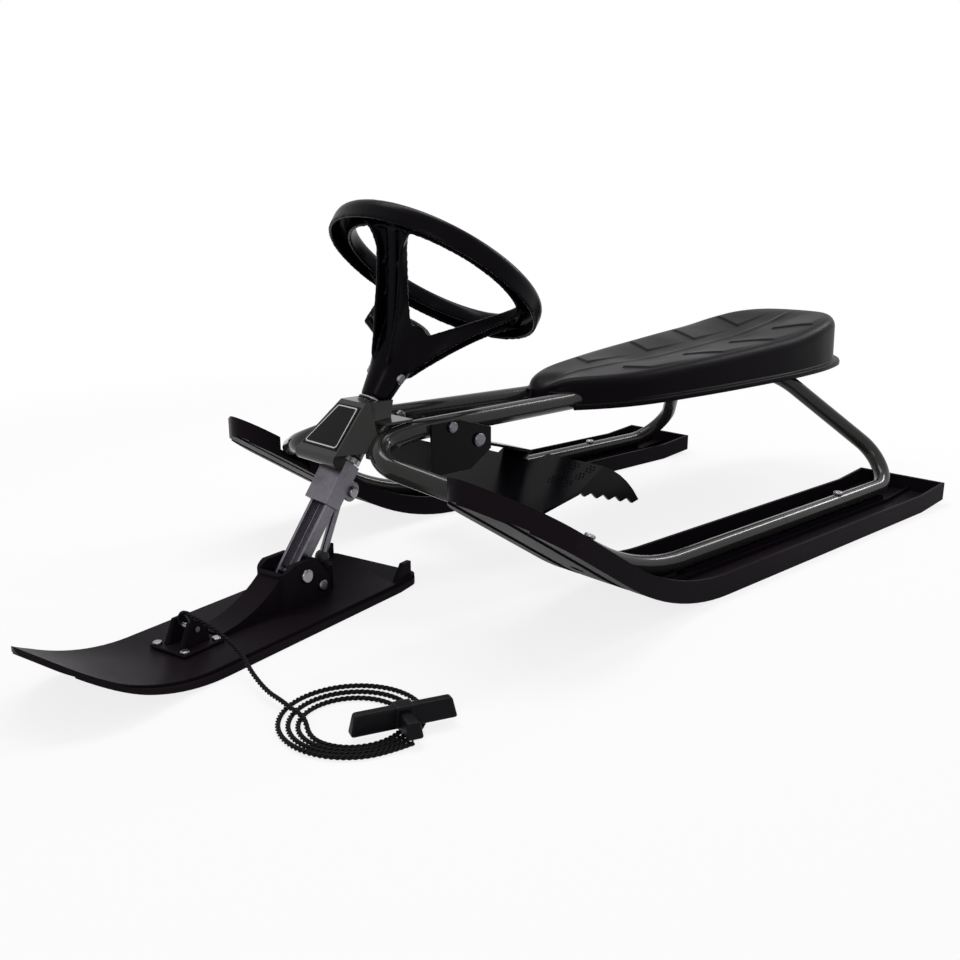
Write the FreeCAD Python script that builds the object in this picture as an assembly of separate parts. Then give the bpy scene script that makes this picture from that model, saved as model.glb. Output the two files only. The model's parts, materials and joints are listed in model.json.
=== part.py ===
"""Steering sled: two rear skis under a bent tube frame, a seat, a foot brake and a wheel with a front ski.

Millimetres. +X is the rider's left, +Y points to the rear, +Z is up and z = 0 is the snow.
While the pieces are built, y = 0 is the tail of the rear skis. At the end everything is moved along Y,
so that the origin lies under the middle of the sled.
"""
import FreeCAD, Part
import math
import os

V = FreeCAD.Vector
X_AXIS = V(1, 0, 0)
Y_AXIS = V(0, 1, 0)
Z_AXIS = V(0, 0, 1)

# Clearances
FIT = 0.05            # radial clearance of a shaft or bolt in its hole
SEATED = 0.02         # gap between a round piece and the flat that it lies on
NUT_SEAT = 0.3        # gap between a flat nut and a tube that runs a little aslant
RUNNING = 0.4         # side gap between pieces that turn past each other
OVERCUT = 2.0         # how far a cutter reaches past the face that it opens

# Rear skis
SKI_TRACK = 201.0     # centre of a ski, from the middle of the sled
SKI_WIDTH = 114.0
SKI_LENGTH = 738.0    # outer wall, measured along the ground
SKI_FLAT = 483.0      # from the tail to the start of the upturn
SKI_BEND = 280.0      # radius of the upturn, under the ski
SKI_NOSE_ANGLE = 32.5
SKI_LEAD = 51.6       # how far the inner corner of the nose lies ahead of the outer one
SKI_TIP_ROUND = 38.0  # rounding of the inner corner, seen from above
SKI_SIDE_ROUND = 60.0     # rounding of the outer corner
SKI_HEIGHT = 22.4     # underside to the top of the walls
SKI_FLOOR = 5.0
SKI_WALL = 3.5
SKI_TAIL_RISE = 6.0
SKI_TAIL_RUN = 60.0
GROOVE_WIDTH = 16.0   # two glide grooves along the underside
GROOVE_DEPTH = 2.0
GROOVE_PLACE = 30.0   # from the ski's centre line
BED_WIDTH = 12.0      # raised bed under the tube
SIDE_RIB = 1.8        # thin ribs beside the tube
SIDE_RIB_HEIGHT = 5.0
SIDE_RIB_GAP = 1.5    # between a rib and the tube, seen from above
GATE_START = 700.0    # the inner wall is cut away for the tube from here
GATE_END = 736.0      # to here

# Frame tubes
TUBE = 20.0           # outer diameter
TUBE_WALL = 1.5
TUBE_HEIGHT = 22.7    # tube centre above the snow, along the skis
TUBE_JOINT_Y = -300.0     # the tube's two ends meet here, in the ski
TUBE_JOINT_GAP = 0.6
UPTURN_START = V(SKI_TRACK, -554.0, TUBE_HEIGHT)    # corners of the bent tube, left side
NOSE_TURN = V(SKI_TRACK, -692.0, 102.5)
NECK_TURN = V(41.0, -774.0, 150.0)
NECK_TOP = V(41.0, -700.0, 162.0)
WAIST = V(29.0, -455.0, 162.0)
SEAT_TURN = V(72.0, -128.0, 170.0)
TAIL_TURN = V(SKI_TRACK, 12.0, TUBE_HEIGHT)
UPTURN_RADIUS = 266.0
NOSE_RADIUS = 90.0
NECK_RADIUS = 32.0
NECK_TOP_RADIUS = 100.0
WAIST_RADIUS = 400.0
SEAT_RADIUS = 90.0
TAIL_RADIUS = 42.0

# Bolts through the tube and the ski's floor
BOLT = 6.0
BOLT_HEAD = 11.0
BOLT_HEAD_HEIGHT = 3.6
NUT_ACROSS = 10.0
NUT_HEIGHT = 4.0
POCKET = 14.0         # round pocket for a nut, under the ski
POCKET_DEPTH = 5.0
BOSS = 18.0           # pad between the nose of the ski and the tube
SKI_BOLT_TAIL_Y = -169.0
SKI_BOLT_NOSE_Y = -632.0

# Steering axis: the middle of the wheel's upper face, and the lean back from upright
WHEEL_CENTRE = V(0, -630.4, 315.2)
STEER_RAKE = 34.3
STEER_REST = 17.0     # the wheel stands turned to the left by this much
STEER_PIVOT = 336.8   # from the wheel down the axis to the front ski's pin

# Steering wheel, heights measured down the axis from its upper face
RIM_RADIUS = 112.8    # outside
RIM_WIDTH = 23.0
RIM_HEIGHT = 22.0
RIM_ROUND = 7.0
HUB_TOP = 72.0
HUB_TOP_RADIUS = 25.0
HUB_WAIST = 118.0
HUB_WAIST_RADIUS = 19.0
HUB_BOTTOM = 154.0
HUB_BOTTOM_RADIUS = 13.5
SPOKES = 3
SPOKE_WIDTH = 30.0
SPOKE_WALL = 4.0
SPOKE_RIM_TOP = 4.0
SPOKE_RIM_BOTTOM = 21.0
SPOKE_HUB_TOP = 75.0
SPOKE_HUB_BOTTOM = 106.0
HUB_BOLT_DROP = 126.0
HUB_FLAT = 16.0       # spot faces for the bolt, from the axis
HUB_FLAT_WIDTH = 14.0

# Column, head and fork, measured down the steering axis and back from it
COLUMN = 20.0         # outer diameter of the column tube
COLUMN_WALL = 2.0
COLUMN_TOP = 96.0
COLUMN_END = 238.0
HEAD_TUBE = 30.0
HEAD_TUBE_WALL = 2.5
HEAD_TOP = 158.5
HEAD_END = 212.0
BUSH_LENGTH = 14.0
BUSH_FLANGE = 2.0
WASHER_HEIGHT = 1.6
COLLAR_HEIGHT = 5.0
HEAD_SHEET = 2.5
HEAD_FLOOR_Z = 148.0  # lower edge of the head box
HEAD_ROOF_Z = 190.0
HEAD_FRONT_LOW = -786.0
HEAD_FRONT_HIGH = -741.5
HEAD_SIDE_LOW = -744.0    # widest place of the box, where it meets the tubes
HEAD_SIDE_HIGH = -737.0
HEAD_REAR_LOW = -726.0
HEAD_REAR_HIGH = -709.0
HEAD_HALF_LOW = 31.5      # half widths at the front and at the widest place
HEAD_HALF_HIGH = 20.0
HEAD_WIDE_LOW = 46.0
HEAD_WIDE_HIGH = 20.5
HEAD_ROLL = 7.0           # rolled lip along the lower front edge
GUSSET_FRONT = -738.0
GUSSET_REAR = -706.0
GUSSET_HALF = 46.0
LABEL_LOW_HALF = 28.0
LABEL_HIGH_HALF = 17.6
LABEL_MARGIN = 5.5    # from the upper and lower edges of the head's sloping face
LABEL_SHEET = 0.8
YOKE_TOP = 220.5
YOKE_END = 266.0
YOKE_SHEET = 3.0
YOKE_FRONT = 14.0     # in front of the axis
YOKE_EAR_DROP = 243.0
YOKE_EAR_BACK = 16.0
YOKE_EAR_RADIUS = 10.0
LEG_SHEET = 2.5
LEG_DEPTH = 15.0      # front to back
LEG_FOOT = 13.0       # past the ski pin
STAY = 8.0            # stop rod behind the leg
STAY_EYE = 11.0
STAY_FOOT_DROP = 310.0
STAY_FOOT_BACK = 36.0
STOP_BALL = 14.0      # rubber ball on the rod's foot

# Front ski: forward or back from its pin, and up from the snow
FRONT_HEEL = 122.0
FRONT_HEEL_RISE = 3.0
FRONT_HEEL_RUN = 30.0
FRONT_TIP = 267.15
FRONT_WIDTH = 120.0
FRONT_SHEET = 9.0
FRONT_TIP_SHEET = 4.5
FRONT_BOW_START = 134.0
FRONT_BOW = 200.0
FRONT_CORNER = 57.0
FRONT_HEEL_CORNER = 12.0
FRONT_LIP = 4.0       # lowered ledge along the sides of the deck
FRONT_LIP_DROP = 3.0
TOWER_HALF = 20.5
TOWER_ROUND = 11.0
TOWER_REAR = 33.0
TOWER_REAR_HEIGHT = 29.0
TOWER_HEIGHT = 51.0
TOWER_TOP_HALF = 14.0
TOWER_SLOT_HALF = 14.4
TOWER_SLOT_FRONT = 24.0
TOWER_SLOT_FLOOR = 14.0
RIDGE_HALF = 14.0
RIDGE_TOP = 43.0
RIDGE_FRONT = 100.0
RIDGE_SAG = 7.0
RIDGE_FRONT_HEIGHT = 13.0
PIN = 8.0
PIN_HEAD = 14.0
PIN_HEAD_HEIGHT = 4.0
PIN_NUT_ACROSS = 13.0
PIN_NUT_HEIGHT = 5.0
PIN_BUSH = 14.0
PIN_BUSH_START = 11.7
STOP_PIN_BACK = 21.0
STOP_PIN_HEIGHT = 22.0
HEEL_FIN_LENGTH = 24.0
HEEL_FIN_HEIGHT = 16.0
HEEL_FIN_SHEET = 5.0
HEEL_FIN_INSET = 6.0
STOP_BOSS = 20.0
ANCHOR_PLACE = 124.0
ANCHOR_BASE = 44.0
ANCHOR_BASE_SHEET = 3.0
ANCHOR_LOW = 30.0
ANCHOR_HIGH = 11.0
ANCHOR_HEIGHT = 37.0  # above the deck
ANCHOR_HOLE = 8.0
ANCHOR_HOLE_DROP = 8.0
ANCHOR_SCREW = 4.0
ANCHOR_SCREW_HEAD = 8.0
ANCHOR_SCREW_HEIGHT = 2.4
ANCHOR_SCREW_DEPTH = 7.0
ANCHOR_SCREW_INSET = 5.0

# Seat: half widths of its lip along the sled, and the heights of its underside and crown
SEAT_OUTLINE = [
    (28.0, -489.0), (54.0, -456.0), (76.0, -407.0), (93.0, -311.0), (105.0, -184.0),
    (108.0, -103.0), (102.0, -31.0), (86.0, 24.0), (54.0, 61.0),
]
SEAT_FRONT = -498.0
SEAT_REAR = 72.0
SEAT_LOW_FRONT = 152.0    # underside of the lip
SEAT_LOW_REAR = 165.0
SEAT_TOP_FRONT = 174.0
SEAT_TOP_REAR = 233.0
SEAT_SHELL = 4.0
SEAT_LIP = 9.0            # from the lip's edge to the crown
SEAT_LIP_HEIGHT = 6.0
SEAT_EDGE = 15.0          # rounding of the crown
SEAT_SLOT_HALF = 12.0     # slots in the front for the tubes
SEAT_SLOT_DEPTH = 60.0
STRAP_SHEET = 3.0
STRAP_WIDTH = 26.0
STRAP_FRONT_Y = -372.0
STRAP_REAR_Y = -205.0
STRAP_FRONT_HALF = 44.0
STRAP_REAR_HALF = 72.0
SEAT_SCREW = 5.0
SEAT_SCREW_HEAD = 10.0
SEAT_SCREW_HEAD_HEIGHT = 3.0
SEAT_SCREW_LENGTH = 7.0
SEAT_SCREW_FRONT = 14.0   # from the middle of the sled
SEAT_SCREW_REAR = 36.0
SEAT_BOSS = 14.0

# Brake
BRAKE_PIVOT = V(0, -629.3, 144.7)
BRAKE_AXLE = 8.0
BRAKE_SHEET = 3.0
BRACKET_SHEET = 2.5
BRACKET_FRONT = -690.0
BRACKET_REAR = -612.0
BRACKET_LOW = 116.0
BRACKET_HIGH = 168.0
BRACKET_HALF = 51.5       # inside of the side plates
BRACKET_WALL_TOP = 150.0
BRACKET_BOLT_Y = -664.0
BRAKE_EYE = 18.0
BRAKE_BUSH = 13.0
BRAKE_EYE_HALF = 12.0
NECK_HALF = 20.0
NECK_FRONT_Y = -624.0
NECK_FRONT_Z = 141.0
PEDAL_REAR_Y = -519.4
PEDAL_REAR_Z = 111.8
PEDAL_FRONT_Y = -589.0
PEDAL_FRONT_Z = 72.7
PEDAL_CLIP_X = 20.0       # clipped outer corners
PEDAL_CLIP_Y = 33.0
CLAW_HALF = 124.0
CLAW_TIP_Y = -459.7
CLAW_TIP_Z = 65.3
CLAW_FOOT_Y = -555.3
CLAW_FOOT_Z = 91.7
CLAW_TEETH = 5
CLAW_TOOTH = 5.0
CLAW_BULGE = 6.0
NOTCH_NEAR = 19.5         # scallops in the pedal's rear edge, beside the neck
NOTCH_FAR = 48.0
NOTCH_DEPTH = 13.0
SPRING_WIRE = 2.0
SPRING_COIL = 15.0
SPRING_PITCH = 2.2
SPRING_LENGTH = 11.0
SPACER = 14.0

# Pull rope, as points of its middle line: forward of the ski's pin, left of it, and above the snow
ROPE = 4.2
ROPE_ROUTE = [
    (124.0, 8.2, 36.4), (123.0, 27.0, 33.5), (120.0, 46.0, 22.5), (121.0, 66.0, 15.0),
    (131.0, 89.0, 6.5), (146.0, 115.0, 2.4), (143.69, 134.77, 2.4),
]
ROPE_BEND_SHARE = 0.45    # part of the shorter run beside a corner that its arc takes
COIL_FORWARD = 137.0
COIL_LEFT = 194.6
COIL_RADIUS = 46.0
COIL_BAND = 28.0
COIL_HEIGHT = 5.6
COIL_ROUND = 2.4
HANDLE = 15.0
HANDLE_LENGTH = 78.0
HANDLE_MIDDLE = V(250.0, -882.0, 0)
HANDLE_TURN = 69.0        # heading of the handle, from +X towards +Y
HANDLE_STEM = 26.0
HANDLE_STEM_LOW = 6.5
HANDLE_STEM_HIGH = 4.5

os.makedirs("parts", exist_ok=True)
nodes = {}


def cylinder(radius, start, end):
    """Round bar between two points."""
    axis = end - start
    return Part.makeCylinder(radius, axis.Length, start, axis)


def pipe(outer, inner, start, end):
    """Straight pipe between two points, from its outer and inner diameters."""
    along = (end - start).normalize() * OVERCUT
    return cylinder(outer / 2, start, end).cut(cylinder(inner / 2, start - along, end + along))


def box(low, high):
    """Block between two opposite corners."""
    size = high - low
    return Part.makeBox(size.x, size.y, size.z, low)


def plate_yz(points, x_low, x_high):
    """Flat sheet from an outline of (y, z) pairs, from x_low to x_high."""
    corners = [V(x_low, y, z) for y, z in points]
    return Part.Face(Part.makePolygon(corners + corners[:1])).extrude(X_AXIS * (x_high - x_low))


def plate_xy(points, z_low, z_high):
    """Flat sheet from an outline of (x, y) pairs, from z_low to z_high."""
    corners = [V(x, y, z_low) for x, y in points]
    return Part.Face(Part.makePolygon(corners + corners[:1])).extrude(Z_AXIS * (z_high - z_low))


def bolt(start, end, diameter, head, head_height):
    """Round-headed bolt whose shank runs from start, under the head, to end."""
    out = (start - end).normalize()
    dome = cylinder(head / 2, start, start + out * head_height)
    rim = [edge for edge in dome.Edges if abs((edge.CenterOfMass - start) * out - head_height) < FIT]
    dome = dome.makeFillet(head_height / 2, rim)
    return dome.fuse(cylinder(diameter / 2, start, end)).removeSplitter()


def nut(base, axis, diameter, across, height):
    """Hexagon nut on a bolt of the given diameter, standing on base."""
    out = V(axis).normalize()
    reach = across / 2 / math.cos(math.pi / 6)
    angles = [math.radians(60 * k) for k in range(7)]
    outline = Part.makePolygon([V(reach * math.cos(a), reach * math.sin(a), 0) for a in angles])
    blank = Part.Face(outline).extrude(Z_AXIS * height)
    blank.Placement = FreeCAD.Placement(base, FreeCAD.Rotation(Z_AXIS, out))
    return blank.cut(cylinder(diameter / 2 + FIT, base - out * OVERCUT, base + out * (height + OVERCUT)))


def bent_path(points, radii):
    """Straight runs through the points, joined by tangent arcs of the given radii."""
    edges = []
    last = points[0]
    for before, corner, after, radius in zip(points, points[1:], points[2:], radii):
        into = (before - corner).normalize()
        away = (after - corner).normalize()
        half = math.acos(into * away) / 2
        first = corner + into * (radius / math.tan(half))
        final = corner + away * (radius / math.tan(half))
        crown = corner + (into + away).normalize() * (radius / math.sin(half) - radius)
        edges.append(Part.LineSegment(last, first).toShape())
        edges.append(Part.Arc(first, crown, final).toShape())
        last = final
    edges.append(Part.LineSegment(last, points[-1]).toShape())
    return Part.Wire(edges)


def sweep_round(path, diameter):
    """Round bar along a path of runs and arcs."""
    first = path.Edges[0]
    start = first.valueAt(first.FirstParameter)
    along = first.tangentAt(first.FirstParameter)
    profile = Part.Circle(start, along, diameter / 2)
    return path.makePipeShell([Part.Wire(profile.toShape())], True, False)


def mirrored(shape):
    """The same piece on the other side of the sled."""
    return shape.mirror(V(0, 0, 0), X_AXIS)


# Bent frame tubes: the left one, as its outside and its bore
def tube_path(joint_gap):
    """Centre line of the left frame tube, one loop that starts and ends in the ski."""
    points = [
        V(SKI_TRACK, TUBE_JOINT_Y - joint_gap, TUBE_HEIGHT), UPTURN_START, NOSE_TURN, NECK_TURN,
        NECK_TOP, WAIST, SEAT_TURN, TAIL_TURN, V(SKI_TRACK, TUBE_JOINT_Y, TUBE_HEIGHT),
    ]
    radii = [UPTURN_RADIUS, NOSE_RADIUS, NECK_RADIUS, NECK_TOP_RADIUS, WAIST_RADIUS, SEAT_RADIUS, TAIL_RADIUS]
    return bent_path(points, radii)


def tube_at(y):
    """Centre of the left tube above a place between the neck and the seat's turn."""
    start, end = (NECK_TOP, WAIST) if y < WAIST.y else (WAIST, SEAT_TURN)
    return start + (end - start) * ((y - start.y) / (end.y - start.y))


frame_path = tube_path(TUBE_JOINT_GAP)
frame_tube = sweep_round(frame_path, TUBE)
tube_bore = sweep_round(frame_path, TUBE - 2 * TUBE_WALL)
tube_room = sweep_round(frame_path, TUBE + 2 * RUNNING)


# Rear skis: a moulded channel, turned up at the nose, open on top and rounded at the front
def ski_line(height):
    """Edges of the ski's side view at a height above its underside, with the tail and nose ends."""
    angle = math.radians(SKI_NOSE_ANGLE)
    tail = V(0, 0, SKI_TAIL_RISE + height)
    heel = V(0, -SKI_TAIL_RUN, height)
    flat = V(0, -SKI_FLAT, height)
    middle = flat + V(0, -math.sin(angle / 2), 1 - math.cos(angle / 2)) * SKI_BEND
    upturn = flat + V(0, -math.sin(angle), 1 - math.cos(angle)) * SKI_BEND
    run = (SKI_LENGTH + SKI_LEAD + upturn.y) / math.cos(angle)
    nose = upturn + V(0, -math.cos(angle), math.sin(angle)) * run
    edges = [
        Part.LineSegment(tail, heel).toShape(), Part.LineSegment(heel, flat).toShape(),
        Part.Arc(flat, middle, upturn).toShape(), Part.LineSegment(upturn, nose).toShape(),
    ]
    return edges, tail, nose, upturn


def ski_band(low, high, x_low, x_high):
    """Solid between two heights above the ski's underside."""
    lower, low_tail, low_nose = ski_line(low)[:3]
    upper, high_tail, high_nose = ski_line(high)[:3]
    ends = [Part.LineSegment(low_tail, high_tail).toShape(), Part.LineSegment(low_nose, high_nose).toShape()]
    band = Part.Face(Part.Wire(Part.__sortEdges__(lower + upper + ends))).extrude(X_AXIS * (x_high - x_low))
    band.translate(X_AXIS * x_low)
    return band


inner_x = SKI_TRACK - SKI_WIDTH / 2
outer_x = SKI_TRACK + SKI_WIDTH / 2
far = SKI_LENGTH + SKI_BEND


def ski_plan(inset):
    """Block inside the ski's outline seen from above, set in from its walls."""
    lead = SKI_LEAD / SKI_WIDTH
    back = inset * math.hypot(1, lead)
    inner_y = -SKI_LENGTH - SKI_LEAD + lead * inset + back
    outer_y = -SKI_LENGTH - lead * inset + back
    left = outer_x - inset
    right = inner_x + inset
    block = plate_xy([(right, -inset), (right, inner_y), (left, outer_y), (left, -inset)], -OVERCUT, SKI_BEND)
    for corner_y, radius in ((inner_y, SKI_TIP_ROUND), (outer_y, SKI_SIDE_ROUND)):
        corner = [edge for edge in block.Edges if len(edge.Vertexes) == 2
                  and all(abs(vertex.Y - corner_y) < FIT for vertex in edge.Vertexes)]
        block = block.makeFillet(radius - inset, corner)
    return block


ski = ski_band(0, SKI_HEIGHT, inner_x, outer_x).common(ski_plan(0))
ski = ski.cut(ski_band(SKI_FLOOR, SKI_HEIGHT + OVERCUT, inner_x, outer_x).common(ski_plan(SKI_WALL)))
inside_walls = ski_plan(SKI_WALL / 2)
bed_height = TUBE_HEIGHT - TUBE / 2 - SEATED
bed = ski_band(SKI_FLOOR / 2, bed_height, SKI_TRACK - BED_WIDTH / 2, SKI_TRACK + BED_WIDTH / 2)
ski = ski.fuse(bed.common(box(V(inner_x, -SKI_FLAT, 0), V(outer_x, -SKI_TAIL_RUN, SKI_HEIGHT))))
for side in (-1, 1):
    rib_x = SKI_TRACK + side * (TUBE / 2 + SIDE_RIB_GAP + SIDE_RIB / 2)
    rib = ski_band(SKI_FLOOR / 2, SKI_FLOOR + SIDE_RIB_HEIGHT, rib_x - SIDE_RIB / 2, rib_x + SIDE_RIB / 2)
    ski = ski.fuse(rib.common(inside_walls))
    groove_x = SKI_TRACK + side * GROOVE_PLACE
    ski = ski.cut(ski_band(-OVERCUT, GROOVE_DEPTH, groove_x - GROOVE_WIDTH / 2, groove_x + GROOVE_WIDTH / 2))

nose_along = (NOSE_TURN - UPTURN_START).normalize()
nose_place = UPTURN_START + nose_along * ((SKI_BOLT_NOSE_Y - UPTURN_START.y) / nose_along.y)
nose_up = nose_along.cross(X_AXIS).normalize()
upturn = ski_line(0)[3]
ski_square = V(0, math.sin(math.radians(SKI_NOSE_ANGLE)), math.cos(math.radians(SKI_NOSE_ANGLE)))
nose_gap = ((nose_place - V(SKI_TRACK, upturn.y, upturn.z)) * ski_square) / (nose_up * ski_square)
tail_place = V(SKI_TRACK, SKI_BOLT_TAIL_Y, TUBE_HEIGHT)
ski_bolts = []
ski_nuts = []
ski = ski.fuse(cylinder(BOSS / 2, nose_place - nose_up * (nose_gap - SKI_FLOOR / 2), nose_place))
for place, up, gap in ((tail_place, Z_AXIS, TUBE_HEIGHT), (nose_place, nose_up, nose_gap)):
    ceiling = place - up * (gap - POCKET_DEPTH)
    ski = ski.cut(cylinder(POCKET / 2, place - up * (gap + OVERCUT), ceiling))
    ski = ski.cut(cylinder(BOLT / 2 + FIT, ceiling - up * OVERCUT, place))
    frame_tube = frame_tube.cut(cylinder(BOLT / 2 + FIT, place - up * TUBE, place + up * TUBE))
    under_head = place + up * (TUBE / 2 + SEATED)
    ski_bolts.append(bolt(under_head, ceiling - up * NUT_HEIGHT, BOLT, BOLT_HEAD, BOLT_HEAD_HEIGHT))
    ski_nuts.append(nut(ceiling, up * -1, BOLT, NUT_ACROSS, NUT_HEIGHT))
gate = ski_band(SKI_FLOOR, SKI_HEIGHT + OVERCUT, inner_x - OVERCUT, inner_x + SKI_WALL + OVERCUT)
ski = ski.cut(gate.common(box(V(inner_x - SKI_WIDTH, -GATE_END, 0), V(outer_x, -GATE_START, SKI_BEND))))
nose_zone = box(V(inner_x - SKI_WIDTH, -far, 0), V(outer_x, -SKI_FLAT, SKI_BEND))
ski = ski.cut(tube_room.common(nose_zone))
nodes["rear_ski_left"] = ski.removeSplitter()
nodes["rear_ski_right"] = mirrored(nodes["rear_ski_left"])
nodes["ski_bolts"] = Part.makeCompound(ski_bolts + [mirrored(piece) for piece in ski_bolts])
nodes["ski_nuts"] = Part.makeCompound(ski_nuts + [mirrored(piece) for piece in ski_nuts])


# Steering frame: points down the axis and back from it, before and after the wheel is turned
rake = math.radians(STEER_RAKE)
axis_up = V(0, math.sin(rake), math.cos(rake))
upright = FreeCAD.Placement(WHEEL_CENTRE, FreeCAD.Rotation(X_AXIS, -STEER_RAKE))
turned = upright.multiply(FreeCAD.Placement(V(0, 0, 0), FreeCAD.Rotation(Z_AXIS, STEER_REST)))
steer_pivot = WHEEL_CENTRE - axis_up * STEER_PIVOT
steer_rest = math.radians(STEER_REST)
heading_side = math.cos(rake) * math.sin(steer_rest)
heading_ahead = math.cos(steer_rest) + math.sin(rake) ** 2 * (1 - math.cos(steer_rest))
heading = math.degrees(math.atan2(heading_side, heading_ahead))
ski_place = FreeCAD.Placement(V(0, steer_pivot.y, 0), FreeCAD.Rotation(Z_AXIS, heading))


def on_axis(drop, back=0.0, side=0.0):
    """Point in the steering frame: down the axis, back from it and to the left."""
    return V(side, back, -drop)


def placed(shape, placement):
    """Copy of a shape moved to its place on the sled."""
    copy = shape.copy()
    copy.Placement = placement.multiply(copy.Placement)
    return copy


# Head: folded box between the tubes, with the head tube, its bushes and a plain label
def head_block(inset, low_z, high_z):
    """Block of the head box, with its walls set in by a sheet thickness."""
    slope = (high_z - low_z) / (HEAD_ROOF_Z - HEAD_FLOOR_Z)
    rings = []
    for share, z in ((0, low_z), (slope, high_z)):
        front = HEAD_FRONT_LOW + (HEAD_FRONT_HIGH - HEAD_FRONT_LOW) * share + inset
        middle = HEAD_SIDE_LOW + (HEAD_SIDE_HIGH - HEAD_SIDE_LOW) * share
        rear = HEAD_REAR_LOW + (HEAD_REAR_HIGH - HEAD_REAR_LOW) * share + 2 * inset
        half = HEAD_HALF_LOW + (HEAD_HALF_HIGH - HEAD_HALF_LOW) * share - inset
        wide = HEAD_WIDE_LOW + (HEAD_WIDE_HIGH - HEAD_WIDE_LOW) * share - inset
        left = [V(half, front, z), V(wide, middle, z), V(half, rear, z)]
        corners = left + [V(-point.x, point.y, z) for point in reversed(left)]
        rings.append(Part.makePolygon(corners + corners[:1]))
    return Part.makeLoft(rings, True, True)


head_outside = head_block(0, HEAD_FLOOR_Z, HEAD_ROOF_Z)
head_inside = head_block(HEAD_SHEET, HEAD_FLOOR_Z, HEAD_ROOF_Z - HEAD_SHEET)
head_bar = cylinder(HEAD_TUBE / 2, on_axis(HEAD_END), on_axis(HUB_TOP))
head_bar = head_bar.fuse(cylinder(HEAD_TUBE / 2 + RUNNING, on_axis(HEAD_TOP), on_axis(HUB_TOP)))
head_bar = placed(head_bar, upright)
face_rise = HEAD_ROOF_Z - HEAD_FLOOR_Z
face_run = HEAD_FRONT_HIGH - HEAD_FRONT_LOW
face_length = math.hypot(face_rise, face_run)
face_up = V(0, face_run, face_rise) * (1 / face_length)
face_out = V(0, -face_rise, face_run) * (1 / face_length)
roll_middle = V(0, HEAD_FRONT_LOW, HEAD_FLOOR_Z) - face_out * HEAD_ROLL
roll_end = X_AXIS * HEAD_HALF_LOW
roll = cylinder(HEAD_ROLL, roll_middle - roll_end, roll_middle + roll_end)
head = head_outside.cut(head_inside).fuse(roll).cut(head_bar).cut(tube_room).cut(mirrored(tube_room))
nodes["head_box"] = max(head.Solids, key=lambda piece: piece.Volume)
head_bore = HEAD_TUBE - 2 * HEAD_TUBE_WALL
nodes["head_tube"] = placed(pipe(HEAD_TUBE, head_bore, on_axis(HEAD_END), on_axis(HEAD_TOP)), upright)
gusset_low = NECK_TOP.z + TUBE / 2 + SEATED
gusset = box(V(-GUSSET_HALF, GUSSET_FRONT, gusset_low), V(GUSSET_HALF, GUSSET_REAR, gusset_low + HEAD_SHEET))
gusset = gusset.cut(head_outside).cut(head_bar)
nodes["head_gusset"] = max(gusset.Solids, key=lambda piece: piece.Volume)
for name, end, out in (("head_bush_upper", HEAD_TOP, -1), ("head_bush_lower", HEAD_END, 1)):
    sleeve = cylinder(head_bore / 2, on_axis(end - out * BUSH_LENGTH), on_axis(end))
    flange = cylinder(HEAD_TUBE / 2, on_axis(end), on_axis(end + out * BUSH_FLANGE))
    hole_start = on_axis(end - out * (BUSH_LENGTH + OVERCUT))
    hole_end = on_axis(end + out * 2 * BUSH_FLANGE)
    hole = cylinder(COLUMN / 2 + FIT, hole_start, hole_end)
    nodes[name] = placed(sleeve.fuse(flange).cut(hole).removeSplitter(), upright)

face_low = V(0, HEAD_FRONT_LOW, HEAD_FLOOR_Z) + face_up * LABEL_MARGIN
face_high = V(0, HEAD_FRONT_LOW, HEAD_FLOOR_Z) + face_up * (face_length - LABEL_MARGIN)
label_corners = [
    face_low - X_AXIS * LABEL_LOW_HALF, face_low + X_AXIS * LABEL_LOW_HALF,
    face_high + X_AXIS * LABEL_HIGH_HALF, face_high - X_AXIS * LABEL_HIGH_HALF,
]
label_face = Part.Face(Part.makePolygon(label_corners + label_corners[:1]))
nodes["label_plate"] = label_face.extrude(face_out * LABEL_SHEET)

# Steering wheel: rim, three channel spokes that fall to a tapered hub, and the bolt to the column
rim_inside = RIM_RADIUS - RIM_WIDTH
rim = Part.makeCylinder(RIM_RADIUS, RIM_HEIGHT, on_axis(RIM_HEIGHT))
rim = rim.cut(Part.makeCylinder(rim_inside, RIM_HEIGHT + 2 * OVERCUT, on_axis(RIM_HEIGHT + OVERCUT)))
rim = rim.makeFillet(RIM_ROUND, [edge for edge in rim.Edges if isinstance(edge.Curve, Part.Circle)])
hub_corners = [
    on_axis(HUB_TOP), on_axis(HUB_TOP, 0, HUB_TOP_RADIUS), on_axis(HUB_WAIST, 0, HUB_WAIST_RADIUS),
    on_axis(HUB_BOTTOM, 0, HUB_BOTTOM_RADIUS), on_axis(HUB_BOTTOM),
]
hub = Part.Face(Part.makePolygon(hub_corners + hub_corners[:1])).revolve(on_axis(0), Z_AXIS, 360)
spoke_end = rim_inside + RIM_WIDTH / 2
spoke_outline = [
    (0, -SPOKE_HUB_TOP), (-HUB_TOP_RADIUS, -SPOKE_HUB_TOP), (-spoke_end, -SPOKE_RIM_TOP),
    (-spoke_end, -SPOKE_RIM_BOTTOM), (-HUB_WAIST_RADIUS, -SPOKE_HUB_BOTTOM), (0, -SPOKE_HUB_BOTTOM),
]
hollow_end = rim_inside - SPOKE_WALL
hollow_start = HUB_TOP_RADIUS + SPOKE_WALL
spoke_hollow = [
    (-hollow_start, -SPOKE_HUB_TOP - SPOKE_WALL), (-hollow_end, -SPOKE_RIM_TOP - 3 * SPOKE_WALL),
    (-hollow_end, -SPOKE_HUB_BOTTOM), (-hollow_start, -SPOKE_HUB_BOTTOM - OVERCUT),
]
half_spoke = SPOKE_WIDTH / 2
spoke = plate_yz(spoke_outline, -half_spoke, half_spoke)
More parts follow.
